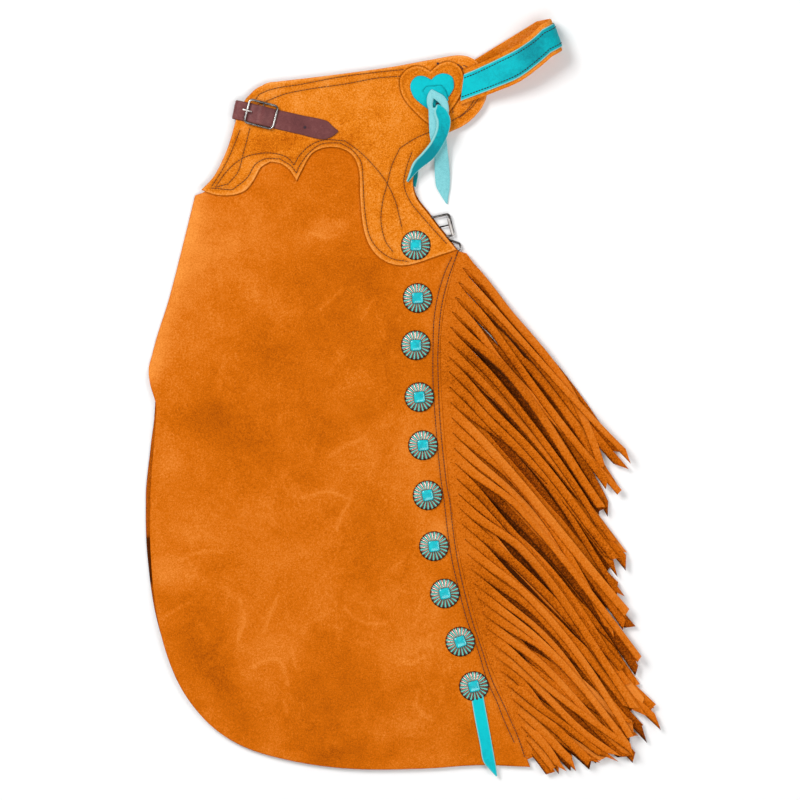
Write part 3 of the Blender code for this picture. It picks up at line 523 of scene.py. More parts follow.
def top_outline(node):
    """The outline of a wall node's upper side, from the frame."""
    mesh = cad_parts[node].data
    spots = {}
    index = []
    for vertex in mesh.vertices:
        index.append(spots.setdefault(tuple(round(c, 6) for c in vertex.co), len(spots)))
    points = np.array(list(spots)) / MM
    upper = {}
    side = set()
    for face in mesh.polygons:
        corners = [index[v] for v in face.vertices]
        edges = list(zip(corners, corners[1:] + corners[:1]))
        if face.normal.z > 0.5:
            upper.update((edge, True) for edge in edges)
        elif face.normal.z > -0.5:
            side.update(edges)
    after = {a: b for a, b in upper if (b, a) in side}
    start = next(iter(after))
    loop = [start]
    while after[loop[-1]] != start:
        loop.append(after[loop[-1]])
    return points[loop][:, :2]


def fill(outline, grid, rows=()):
    """Triangles that fill an outline on a grid, with extra rows of points."""
    inner = outline - outward(outline) * EDGE_ROUND
    extra = [inner[inside(inner, outline)]]
    for row in rows:
        extra.append(row[inside(row, outline)])
    extra = np.concatenate(extra)
    kept = []
    tree = KDTree(len(extra))
    for i, point in enumerate(extra):
        tree.insert((*point, 0), i)
    tree.balance()
    taken = set()
    for i, point in enumerate(extra):
        if i in taken:
            continue
        kept.append(point)
        for _, other, _ in tree.find_range((*point, 0), EDGE_ROUND * 0.6):
            taken.add(other)
    kept = np.array(kept)
    low = outline.min(0)
    high = outline.max(0)
    lattice = []
    y = low[1]
    row = 0
    while y < high[1]:
        xs = np.arange(low[0] + grid / 2 * (row % 2), high[0], grid)
        lattice.append(np.column_stack((xs, np.full(len(xs), y))))
        y += grid * math.sqrt(3) / 2
        row += 1
    lattice = np.concatenate(lattice)
    lattice = lattice[inside(lattice, outline)]
    ring = KDTree(len(kept) + len(outline))
    for i, point in enumerate(np.concatenate((kept, outline))):
        ring.insert((*point, 0), i)
    ring.balance()
    clear = [ring.find((*point, 0))[2] > grid * 0.55 for point in lattice]
    points = np.concatenate((outline, kept, lattice[clear]))
    count = len(outline)
    edges = [(i, (i + 1) % count) for i in range(count)]
    verts, _, faces, _, _, _ = delaunay_2d_cdt([Vector(p) for p in points], edges, [], 1, 1e-4)
    return np.array([tuple(v) for v in verts]), [tuple(f) for f in faces]


# Meshes

def add_mesh(name, points, faces, material, attributes=None, sharp=50.0):
    """A piece from points in millimetres, smooth but for its sharp edges."""
    mesh = bpy.data.meshes.new(name)
    mesh.from_pydata((np.asarray(points) * MM).tolist(), [], faces)
    mesh.materials.append(material)
    mesh.shade_smooth()
    mesh.set_sharp_from_angle(angle=math.radians(sharp))
    for label, values in (attributes or {}).items():
        attribute = mesh.attributes.new(label, "FLOAT", "POINT")
        attribute.data.foreach_set("value", np.asarray(values, np.float32))
    thing = bpy.data.objects.new(name, mesh)
    bpy.context.scene.collection.objects.link(thing)
    return thing


def boundary(faces):
    """The edges that only one face has, in that face's direction."""
    seen = {}
    for face in faces:
        for edge in zip(face, face[1:] + face[:1]):
            seen[edge] = True
    return [edge for edge in seen if (edge[1], edge[0]) not in seen]


def shell(name, plan, faces, bottoms, tops, material, attributes=None):
    """A closed wall over a plan, with its cut edge rounded."""
    count = len(plan)
    rim = boundary(faces)
    edge = sorted({i for pair in rim for i in pair})
    tops = np.array(tops, float)
    bottoms = np.array(bottoms, float)
    tops[edge] -= EDGE_DROP
    bottoms[edge] += np.where(bottoms[edge] > EDGE_DROP, EDGE_DROP * 0.6, 0.0)
    points = np.concatenate((np.column_stack((plan, bottoms)), np.column_stack((plan, tops))))
    closed = [tuple(reversed(face)) for face in faces]
    closed += [tuple(i + count for i in face) for face in faces]
    closed += [(a, b, b + count, a + count) for a, b in rim]
    both = {label: np.concatenate((values, values)) for label, values in (attributes or {}).items()}
    if "tone" in both:
        both["tone"][edge] -= CUT_SHADE
        both["tone"][[i + count for i in edge]] -= CUT_SHADE / 2
    return add_mesh(name, points, closed, material, both)


def band(name, lefts, rights, thickness, material, lift=0.0, crown=0.0, across=10, raw=(0.5, 0.5), tone=None):
    """A strap whose underside runs through two edges, thickened along its own normal, with round raw edges.

    raw gives how wide the pale cut edge looks on the left and on the right.
    """
    lefts = np.asarray(lefts, float)
    rights = np.asarray(rights, float)
    middle = (lefts + rights) / 2
    run = np.gradient(middle, axis=0)
    normal = np.cross(run, lefts - rights)
    normal /= np.maximum(np.linalg.norm(normal, axis=1), 1e-9)[:, None]
    shares = 0.5 - 0.5 * np.cos(np.linspace(0, math.pi, across + 1))
    points = []
    rawness = []
    tones = []
    for i in range(len(lefts)):
        wide = max(np.linalg.norm(lefts[i] - rights[i]), 1e-6)
        for share, upper in [(s, True) for s in shares] + [(s, False) for s in shares[::-1]]:
            from_edge = min(share, 1 - share) * wide
            round_off = (1 - smooth_step(from_edge / EDGE_ROUND)) * thickness * 0.3
            if upper:
                level = lift + thickness - round_off + crown * (1 - (2 * share - 1) ** 2)
            else:
                level = lift + round_off
            points.append(lefts[i] * (1 - share) + rights[i] * share + normal[i] * level)
            width = raw[0] if share < 0.5 else raw[1]
            rawness.append(1 - float(smooth_step((from_edge - width) / 0.7)) if upper else 1.0)
            tones.append(0.0 if tone is None else tone[i])
    sides = 2 * (across + 1)
    return add_mesh(name, points, tube_faces(len(lefts), sides), material, {"raw": rawness, "tone": tones})


def tube_faces(rows, sides, closed=False):
    """Faces of a tube of rings of points, closed on itself or with a face at each end."""
    faces = []
    for i in range(rows if closed else rows - 1):
        a = i * sides
        b = (i + 1) % rows * sides
        for k in range(sides):
            after = (k + 1) % sides
            faces.append((a + k, a + after, b + after, b + k))
    if not closed:
        end = (rows - 1) * sides
        faces.append(tuple(reversed(range(sides))))
        faces.append(tuple(end + k for k in range(sides)))
    return faces


def join(name, parts, material):
    """One mesh from several lists of points and faces."""
    points = []
    faces = []
    for some_points, some_faces in parts:
        start = len(points)
        points.extend(some_points)
        faces.extend(tuple(start + i for i in face) for face in some_faces)
    return add_mesh(name, points, faces, material)


def dress(thing, nodes=()):
    """Fastens a piece to the garment and hides the frame's nodes that it stands for."""
    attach(thing, "root")
    if nodes:
        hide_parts(*nodes)
    return thing


# Materials

class Paint:
    """A Principled material with the nodes that the leathers and metals share."""

    def __init__(self, name, roughness, metallic=0.0):
        self.material = bpy.data.materials.new(name)
        self.material.use_nodes = True
        self.tree = self.material.node_tree
        self.shader = self.tree.nodes["Principled BSDF"]
        self.shader.inputs["Roughness"].default_value = roughness
        self.shader.inputs["Metallic"].default_value = metallic
        self.where = self.tree.nodes.new("ShaderNodeTexCoord").outputs["Object"]

    def set(self, **values):
        for name, value in values.items():
            self.shader.inputs[name.replace("_", " ")].default_value = value
        return self

    def noise(self, scale, detail=3.0, roughness=0.5, distortion=0.0, stretch=None):
        node = self.tree.nodes.new("ShaderNodeTexNoise")
        node.inputs["Scale"].default_value = scale
        node.inputs["Detail"].default_value = detail
        node.inputs["Roughness"].default_value = roughness
        node.inputs["Distortion"].default_value = distortion
        self.tree.links.new(self.stretched(stretch), node.inputs["Vector"])
        return node.outputs["Fac"]

    def cells(self, scale):
        node = self.tree.nodes.new("ShaderNodeTexVoronoi")
        node.inputs["Scale"].default_value = scale
        self.tree.links.new(self.where, node.inputs["Vector"])
        return node.outputs["Distance"]

    def stretched(self, stretch):
        """Coordinates turned and stretched along one way, for scratches."""
        if stretch is None:
            return self.where
        degrees, scale = stretch
        node = self.tree.nodes.new("ShaderNodeMapping")
        node.inputs["Rotation"].default_value = (0, 0, math.radians(degrees))
        node.inputs["Scale"].default_value = scale
        self.tree.links.new(self.where, node.inputs["Vector"])
        return node.outputs["Vector"]

    def attribute(self, name):
        node = self.tree.nodes.new("ShaderNodeAttribute")
        node.attribute_name = name
        return node.outputs["Fac"]

    def math(self, operation, a, b):
        node = self.tree.nodes.new("ShaderNodeMath")
        node.operation = operation
        for socket, value in zip(node.inputs, (a, b)):
            if isinstance(value, (int, float)):
                socket.default_value = value
            else:
                self.tree.links.new(value, socket)
        return node.outputs[0]

    def sum(self, base, *terms):
        """base plus each socket times its weight, the noise ones about their own middle."""
        total = base
        for socket, weight, middle in terms:
            total = self.math("ADD", self.math("MULTIPLY", self.math("SUBTRACT", socket, middle), weight), total)
        return total

    def ramp(self, value, stops):
        """A colour or grey from a value. A stop is a place and a linear colour."""
        node = self.tree.nodes.new("ShaderNodeValToRGB")
        elements = node.color_ramp.elements
        while len(elements) < len(stops):
            elements.new(0.5)
        for element, (place, colour) in zip(elements, stops):
            element.position = place
            element.color = (*colour, 1.0)
        self.tree.links.new(value, node.inputs["Fac"])
        return node.outputs["Color"]

    def mix(self, factor, a, b):
        node = self.tree.nodes.new("ShaderNodeMix")
        node.data_type = "RGBA"
        for socket, value in ((node.inputs["Factor"], factor), (node.inputs["A"], a), (node.inputs["B"], b)):
            if isinstance(value, tuple):
                socket.default_value = (*value, 1.0)
            elif isinstance(value, (int, float)):
                socket.default_value = value
            else:
                self.tree.links.new(value, socket)
        for socket, value in ((node.inputs[6], a), (node.inputs[7], b)):
            if isinstance(value, tuple):
                socket.default_value = (*value, 1.0)
            else:
                self.tree.links.new(value, socket)
        return node.outputs[2]

    def bump(self, height, millimetres):
        node = self.tree.nodes.new("ShaderNodeBump")
        node.inputs["Strength"].default_value = 1.0
        node.inputs["Distance"].default_value = millimetres * MM
        before = self.shader.inputs["Normal"]
        if before.is_linked:
            self.tree.links.new(before.links[0].from_socket, node.inputs["Normal"])
        self.tree.links.new(height, node.inputs["Height"])
        self.tree.links.new(node.outputs["Normal"], before)

    def to(self, name, socket):
        self.tree.links.new(socket, self.shader.inputs[name])
        return self


def srgb(red, green, blue):
    """Linear colour from the 0 to 255 numbers of a picture."""
    def linear(value):
        value /= 255
        return value / 12.92 if value <= 0.04045 else ((value + 0.055) / 1.055) ** 2.4
    return tuple(linear(v) for v in (red, green, blue))


def suede(name, dark, middle, light, nap=1.0, clouds=1.0, marks=0.0, crinkle=0.0):
    """Napped leather: broad clouds, mottling and a fine grain, with the piece's tone, seams and edges, which also
    carry painted light and shade.
    """
    paint = Paint(name, 0.95)
    broad = paint.noise(8, 3, 0.55)
    cloud = paint.noise(38, 4, 0.62, 0.6)
    grain = paint.noise(470, 3, 0.7)
    fibre = paint.noise(900, 2, 0.6)
    # the tone attribute holds each piece's lighter and darker places, and painted light and shade: the rolled edge's
    # highlight, shade at cut edges' feet, on the yoke's folded edge, in the gap by the folded layers, and on the
    # fringe's lower layers and strand sides
    value = paint.sum(
        0.5,
        (broad, 0.45, 0.5),
        (cloud, 0.32 * clouds, 0.5),
        (grain, 0.7 * nap, 0.5),
        (fibre, 0.8 * nap, 0.5),
        (paint.attribute("tone"), 0.5, 0.0),
        (paint.attribute("scuff"), 0.14, 0.0),
    )
    if marks:
        streak = paint.noise(26, 3, 0.6, 1.6, stretch=(58, (1.0, 0.4, 1.0)))
        thin = paint.ramp(streak, [(0.60, (0, 0, 0)), (0.64, (1, 1, 1)), (0.69, (0, 0, 0))])
        value = paint.sum(value, (thin, marks, 0.0))
    deep = tuple(c * 0.22 for c in dark)
    colour = paint.ramp(value, [(0.0, deep), (0.22, dark), (0.5, middle), (0.95, light)])
    # the seam attribute darkens stitch lines and the heart's pressed line, and also carries painted shade under the
    # yoke's edge, round the suede heart and in the gap by the folded layers
    seam = paint.math("MULTIPLY", paint.attribute("seam"), 0.5)
    colour = paint.mix(seam, colour, tuple(c * 0.35 for c in dark))
    paint.to("Base Color", colour)
    paint.set(Sheen_Weight=0.10, Sheen_Roughness=0.5, Sheen_Tint=(1.0, 0.62, 0.3, 1.0), Specular_IOR_Level=0.04)
    paint.bump(fibre, 0.12 * nap)
    paint.bump(grain, 0.30 * nap)
    paint.bump(cloud, 0.6)
    if crinkle:
        paint.bump(paint.noise(150, 2, 0.5, 0.4, stretch=(-48, (1.8, 0.7, 1.0))), crinkle)
    return paint.material


def grain_leather(name, dark, middle, light, roughness, pale, coat=0.0, bump=0.12):
    """Smooth leather with fine pores, creases and a little wear, paler at its cut edges."""
    paint = Paint(name, roughness)
    broad = paint.noise(30, 3)
    crease = paint.noise(160, 5, 0.6, 1.5)
    pores = paint.cells(900)
    # the tone attribute here carries painted shade: on the belt's turn, along the dark lace tail, on the lace loop
    # and under it on the small heart
    value = paint.sum(
        0.5,
        (broad, 0.9, 0.5),
        (crease, 0.55, 0.5),
        (pores, 0.15, 0.3),
        (paint.attribute("tone"), 0.5, 0.0),
    )
    colour = paint.ramp(value, [(0.0, dark), (0.5, middle), (1.0, light)])
    # the seam attribute here is painted shade: in the gap between the fold's runs and under the lace loop
    seam = paint.math("MULTIPLY", paint.attribute("seam"), 0.5)
    colour = paint.mix(seam, colour, tuple(c * 0.3 for c in dark))
    paint.to("Base Color", paint.mix(paint.attribute("raw"), colour, pale))
    paint.set(Coat_Weight=coat, Coat_Roughness=0.35, Specular_IOR_Level=0.1)
    paint.bump(pores, bump * 0.5)
    paint.bump(crease, bump * 2)
    return paint.material


def metal(name, dark, light, roughness):
    paint = Paint(name, roughness, 1.0)
    wear = paint.noise(120, 4, 0.6)
    paint.to("Base Color", paint.ramp(wear, [(0.3, dark), (0.7, light)]))
    paint.to("Roughness", paint.math("ADD", paint.math("MULTIPLY", wear, 0.2), roughness - 0.08))
    paint.bump(paint.noise(600, 2), 0.02)
    return paint.material


def concho_metal():
    """Aged copper on the ridges with a painted highlight, verdigris in the grooves and a dark rim with painted shade
    on the side away from the light.
    """
    paint = Paint("aged_copper", 0.45, 0.6)
    spots = paint.noise(700, 3, 0.6)
    cover = paint.sum(0.0, (paint.attribute("groove"), 1.0, 0.0), (spots, 0.5, 0.5))
    green = paint.ramp(cover, [(0.44, (0, 0, 0)), (0.58, (1, 1, 1))])
    # painted highlight along the ridges, brighter on the side toward the light
    shine = paint.sum(0.05, (paint.attribute("ridge_highlight"), 0.6, 0.0), (spots, 0.8, 0.5))
    copper = paint.ramp(shine, [(0.1, srgb(92, 40, 30)), (0.42, srgb(148, 80, 64)), (0.85, srgb(250, 214, 202))])
    # dark rim, with painted shade on the side away from the light
    copper = paint.mix(paint.attribute("rim"), copper, srgb(72, 32, 24))
    paint.to("Base Color", paint.mix(green, copper, srgb(112, 196, 182)))
    paint.to("Metallic", paint.math("SUBTRACT", 0.6, paint.math("MULTIPLY", green, 0.55)))
    paint.to("Roughness", paint.math("ADD", 0.34, paint.math("MULTIPLY", green, 0.4)))
    paint.bump(spots, 0.12)
    return paint.material


def thread(name, colour):
    paint = Paint(name, 0.8)
    twist = paint.noise(1500, 2)
    dark = tuple(c * 0.6 for c in colour)
    paint.to("Base Color", paint.ramp(twist, [(0.35, dark), (0.65, colour)]))
    paint.bump(twist, 0.05)
    return paint.material


def stone_material():
    paint = Paint("turquoise_stone", 0.22)
    vein = paint.noise(260, 4, 0.6, 0.8)
    paint.to("Base Color", paint.ramp(vein, [(0.3, srgb(0, 160, 174)), (0.6, srgb(0, 200, 210)), (0.8, srgb(30, 214, 220))]))
    paint.set(Coat_Weight=0.5, Coat_Roughness=0.12)
    paint.bump(paint.noise(500, 2), 0.03)
    return paint.material


LEG_SUEDE = suede("leg_suede", srgb(164, 76, 2), srgb(208, 104, 5), srgb(244, 152, 66), nap=0.75, marks=0.06)
YOKE_SUEDE = suede("yoke_suede", srgb(180, 84, 3), srgb(224, 124, 18), srgb(250, 172, 92), nap=1.0, clouds=1.5)
FRINGE_SUEDE = suede("fringe_suede", srgb(134, 58, 1), srgb(203, 101, 6), srgb(228, 134, 50), nap=1.1, clouds=0.6,
                     crinkle=0.12)
FOLDED_SUEDE = suede("folded_suede", srgb(140, 62, 2), srgb(194, 96, 8), srgb(230, 140, 64))
PALE_EDGE = srgb(140, 206, 206)
TURQUOISE = grain_leather("turquoise_grain", srgb(0, 132, 144), srgb(0, 188, 198), srgb(0, 208, 214), 0.6,
                          PALE_EDGE)
PALE_TURQUOISE = suede("turquoise_flesh", srgb(84, 166, 174), srgb(132, 206, 212), srgb(172, 224, 226), nap=0.45, crinkle=0.3)
DARK_TURQUOISE = grain_leather("turquoise_shade", srgb(0, 80, 88), srgb(4, 130, 136), srgb(20, 160, 166), 0.5,
                               PALE_EDGE)
BURGUNDY = grain_leather("burgundy_strap", srgb(70, 34, 36), srgb(112, 62, 62), srgb(150, 96, 92), 0.5,
                         srgb(104, 58, 52), coat=0.1)
NICKEL = metal("polished_nickel", srgb(104, 100, 98), srgb(196, 194, 190), 0.18)
COPPER = concho_metal()
BEZEL = metal("concho_bezel", srgb(110, 80, 70), srgb(190, 160, 150), 0.5)
PALE_NICKEL = metal("brushed_nickel", srgb(196, 190, 184), srgb(236, 232, 228), 0.5)
# A darkened copy of the nickel for the thigh hardware: painted dark reflections
PAINTED_DARK_NICKEL = metal("nickel_painted_dark", srgb(44, 38, 36), srgb(150, 144, 140), 0.16)
STONE = stone_material()
BROWN_THREAD = thread("brown_thread", srgb(92, 42, 24))
DARK_THREAD = thread("dark_thread", srgb(58, 34, 46))
BELT_THREAD = thread("belt_thread", srgb(30, 26, 34))


# The leather as it lies

class Lie:
    """Heights of the stacked leather at points in plan."""

    def __init__(self):
        self.outline = top_outline("leg_front")

    def leg_bottom(self, points):
        deep = np.where(inside(points, self.outline), line_distance(points, self.outline, closed=True), 0.0)
        height = EDGE_LIFT + BULGE * smooth_step(deep / BULGE_REACH)
        for x0, y0, x1, y1, half, rise in SWELLS:
            away = line_distance(points, [(x0, y0), (x1, y1)]) / half
            height += rise * np.exp(-away * away)
        for x0, y0, x1, y1, half, rise in CREASES:
            away = line_distance(points, [(x0, y0), (x1, y1)]) / half
            height += rise * np.exp(-away * away) * smooth_step(deep / 25)
        from_roll = line_distance(points, ROLL_LINE)
        return height - ROLL_DROP * np.clip(1 - from_roll / ROLL_WIDTH, 0, 1) ** 2

    def leg_top(self, points):
        return self.leg_bottom(points) + LEG_WALL

    def yoke_bottom(self, points):
        return self.leg_top(points) + SEAM

    def yoke_top(self, points):
        return self.yoke_bottom(points) + YOKE_WALL


lie = Lie()


# Stitches and grooves

def seam_lines(tables):
    return [curve(photo(rows), 1.5) for rows in tables]


def groove_rows(lines):
    """Points along each seam and beside it, so that the groove has its shape in the mesh."""
    rows = []
    for line in lines:
        line = line[::2]
        run = np.gradient(line, axis=0)
        side = np.column_stack((-run[:, 1], run[:, 0])) / np.linalg.norm(run, axis=1)[:, None]
        rows += [line, line + side * GROOVE_WIDTH, line - side * GROOVE_WIDTH]
    return rows


def seam_depth(points, lines):
    """1 on a seam and 0 away from it."""
    away = np.min([line_distance(points, line[::2]) for line in lines], axis=0)
    return np.exp(-(away / GROOVE_WIDTH) ** 2)


def stitch(at, ahead, up, width=STITCH_WIDTH):
    """Points and faces of one stitch, thick in the middle and sunk at its ends."""
    side = np.cross(up, ahead)
    sides = 6
    points = []
    for share, size, sink in ((-0.5, 0.25, -0.3), (-0.32, 0.85, 0.0), (0.0, 1.0, 0.08), (0.32, 0.85, 0.0),
                              (0.5, 0.25, -0.3)):
        for k in range(sides):
            turn = 2 * math.pi * k / sides
            points.append(at + ahead * share * STITCH_LENGTH + up * (sink + math.sin(turn) * size * width * 0.4)
                          + side * math.cos(turn) * size * width / 2)
    return points, tube_faces(5, sides)


def stitches_on(lines, height):
    """Stitches at an even pitch along lines in plan, lying on a height."""
    parts = []
    for line in lines:
        steps = np.linalg.norm(np.diff(line, axis=0), axis=1)
        reach = np.concatenate(([0], np.cumsum(steps)))
        places = np.arange(STITCH_PITCH / 2, reach[-1], STITCH_PITCH)
        at = np.column_stack([np.interp(places, reach, line[:, k]) for k in (0, 1)])
        ahead = np.column_stack([np.interp(places + 1, reach, line[:, k]) for k in (0, 1)]) - at
        z = height(at)
        for (x, y), (dx, dy), level in zip(at, ahead, z):
            run = np.array((dx, dy, 0.0))
            if np.linalg.norm(run) < 0.2:
                continue
            parts.append(stitch(np.array((x, y, level)), run / np.linalg.norm(run), np.array((0, 0, 1.0))))
    return parts


# Leg and yoke

def tone_of(points, patches):
    """Lighter and darker places."""
    tone = np.zeros(len(points))
    for px, py, wide, tall, turned, amount in patches:
        centre = photo([(px, py)])[0]
        turn = math.radians(turned)
        away = points - centre
        x = (away[:, 0] * math.cos(turn) + away[:, 1] * math.sin(turn)) / (wide * PIXEL)
        y = (-away[:, 0] * math.sin(turn) + away[:, 1] * math.cos(turn)) / (tall * PIXEL)
        tone += amount * np.exp(-(x * x + y * y))
    return tone


def make_leg():
    outline = curve(lie.outline, 3.0, closed=True)
    seams = seam_lines(SEAM_STITCHES)
    yoke_edge = curve(top_outline("yoke"), 2.2, closed=True)
    yoke_out = outward(yoke_edge)
    # rows just in and out from the yoke's edge, to hold the painted shadow under it
    rows = [yoke_edge + yoke_out * away for away in (-0.6, 0.7, 2.4)]
    plan, faces = fill(outline, LEG_GRID, groove_rows(seams) + rows)
    bottoms = lie.leg_bottom(plan)
    groove = seam_depth(plan, seams)
    # painted shadow along the yoke's edge, put in the seam attribute with the stitch grooves
    groove = np.maximum(groove, 0.75 * np.exp(-(line_distance(plan, yoke_edge, closed=True) / 1.3) ** 2))
    scuff = np.max([np.exp(-(line_distance(plan, curve(photo(rows), 4)) / SCUFF_WIDTH) ** 2)
                    for rows in LEG_SCUFFS], axis=0)
    # painted highlight along the rolled edge
    tone = tone_of(plan, LEG_PATCHES) + ROLL_HIGHLIGHT * np.exp(-(line_distance(plan, ROLL_LINE) / ROLL_HIGHLIGHT_REACH) ** 2)
    attributes = {"tone": tone, "seam": groove, "scuff": scuff}
    leg = shell("leg_panel", plan, faces, bottoms, bottoms + LEG_WALL - groove * GROOVE_DEPTH, LEG_SUEDE, attributes)
    dress(leg, ["leg_front"])
    threads = join("leg_stitches", stitches_on(seams, lambda p: lie.leg_top(p) - 0.05), DARK_THREAD)
    dress(threads)
    return leg


def make_yoke():
    outline = curve(top_outline("yoke"), 2.2, closed=True)
    seams = seam_lines(YOKE_STITCHES)
    # the heart's edge, with rows beside it, to hold painted shade round the heart
    heart = curve(top_outline("heart_suede"), 1.8, closed=True, corner_degrees=58)
    heart_out = outward(heart)
    rows = [heart + heart_out * away for away in (0.4, 1.8)]
    plan, faces = fill(outline, YOKE_GRID, groove_rows(seams) + rows)
    bottoms = lie.yoke_bottom(plan)
    groove = seam_depth(plan, seams)
    # painted shade round the suede heart's edge, in the seam attribute
    groove = np.maximum(groove, 1.3 * np.exp(-(line_distance(plan, heart, closed=True) / 1.1) ** 2))
    rim = line_distance(plan, outline, closed=True)
    tone = tone_of(plan, YOKE_PATCHES) + RAW_RIM * np.exp(-((rim - EDGE_ROUND) / 1.1) ** 2)
    attributes = {"seam": groove, "tone": tone}
    yoke = shell("yoke_panel", plan, faces, bottoms, bottoms + YOKE_WALL - groove * GROOVE_DEPTH, YOKE_SUEDE, attributes)
    dress(yoke, ["yoke"])
    threads = join("yoke_stitches", stitches_on(seams, lambda p: lie.yoke_top(p) - 0.05), BROWN_THREAD)
    dress(threads)
    ends = []
    for px, py, heading in THREAD_ENDS:
        spot = photo([(px, py)])
        turn = math.radians(heading)
        at = np.array((*spot[0], lie.yoke_top(spot)[0] + 0.6))
        ends.append(stitch(at, np.array((math.cos(turn), math.sin(turn), 0.0)), np.array((0, 0, 1.0))))
    # dark dishes of painted shade in the peg hole and the lace slit
    spot = photo([PEG_HOLE])
    ends.append(hole_shade_dish(spot[0], lie.yoke_top(spot)[0] + SEAM + HEART_WALL + 0.05, 1.3))
    spot = photo([LACE_SLIT])
    ends.append(hole_shade_dish(spot[0], lie.yoke_top(spot)[0] + SEAM * 2 + HEART_WALL + SMOOTH_WALL + 0.1, 2.0))
    dress(join("thread_ends_and_hole_shade", ends, DARK_THREAD))
    return yoke


RIM_LAYER = 2.0
RIM_RISE = 8.0
RIM_WIDTH = 3.0
BUCKLE_RIM = 40.0
BUCKLE_REACH = 82.0
BUCKLE_FADE = 30.0
# Painted shadow in the gap between the leg and the folded layers at the left edge
GAP_SHADOW_LINE = [(149, 540), (150, 560), (152, 580)]


def hole_shade_dish(spot, z, radius):
    """Painted shade in a small hole: a dark shallow dish at its mouth."""
    points = []
    for share, rise in ((1.0, 0.15), (0.8, 0.0), (0.7, -0.1), (0.1, -0.12)):
        for k in range(16):
            turn = 2 * math.pi * k / 16
            points.append((spot[0] + radius * share * math.cos(turn), spot[1] + radius * share * math.sin(turn),
                           z + rise))
    return points, tube_faces(4, 16)


def make_folded():
    rough = top_outline("folded_half")
    outline = curve(rough, 4.0, closed=True)
    normal = outward(outline)
    frame_centre = np.array(THIGH_FRAME[0])
    rows = [outline - normal * inset for inset in (RIM_WIDTH, RIM_WIDTH + RIM_RISE / 2, RIM_WIDTH + RIM_RISE)]
    plan, faces = fill(outline, FOLDED_GRID, rows)
    near_buckle = np.linalg.norm(plan - frame_centre, axis=1)
    rim = RIM_WIDTH + BUCKLE_RIM * smooth_step((BUCKLE_REACH - near_buckle) / BUCKLE_FADE)
    deep = line_distance(plan, rough, closed=True)
    full = lie.leg_bottom(plan) - SEAM
    tops = np.minimum(full, RIM_LAYER + np.maximum(0, full - RIM_LAYER) * smooth_step((deep - rim) / RIM_RISE))
    # painted shadow along that gap, as darker tone and seam
    dark = np.exp(-(line_distance(plan, photo(GAP_SHADOW_LINE)) / 4) ** 2)
    folded = shell("folded_layers", plan, faces, np.zeros(len(plan)), tops, FOLDED_SUEDE,
                   {"tone": -0.2 - dark, "seam": dark})
    dress(folded, ["folded_half"])
    return folded


# Fringe

def read_table(rows, place, column):
    return float(np.interp(place, [row[0] for row in rows], [row[column] for row in rows]))


def seam_edge():
    """The leg's outline along the fringe, from its top to the hem."""
    outline = lie.outline
    top = np.argmin(np.linalg.norm(outline - (63.1, 162.4), axis=1))
    hem = np.argmin(np.linalg.norm(outline - (142.1, -405.6), axis=1))
    count = len(outline)
    down = [outline[i % count] for i in range(top, top + (hem - top) % count + 1)]
    up = [outline[i % count] for i in range(top, top - (top - hem) % count - 1, -1)]
    return np.array(down if len(down) < len(up) else up)


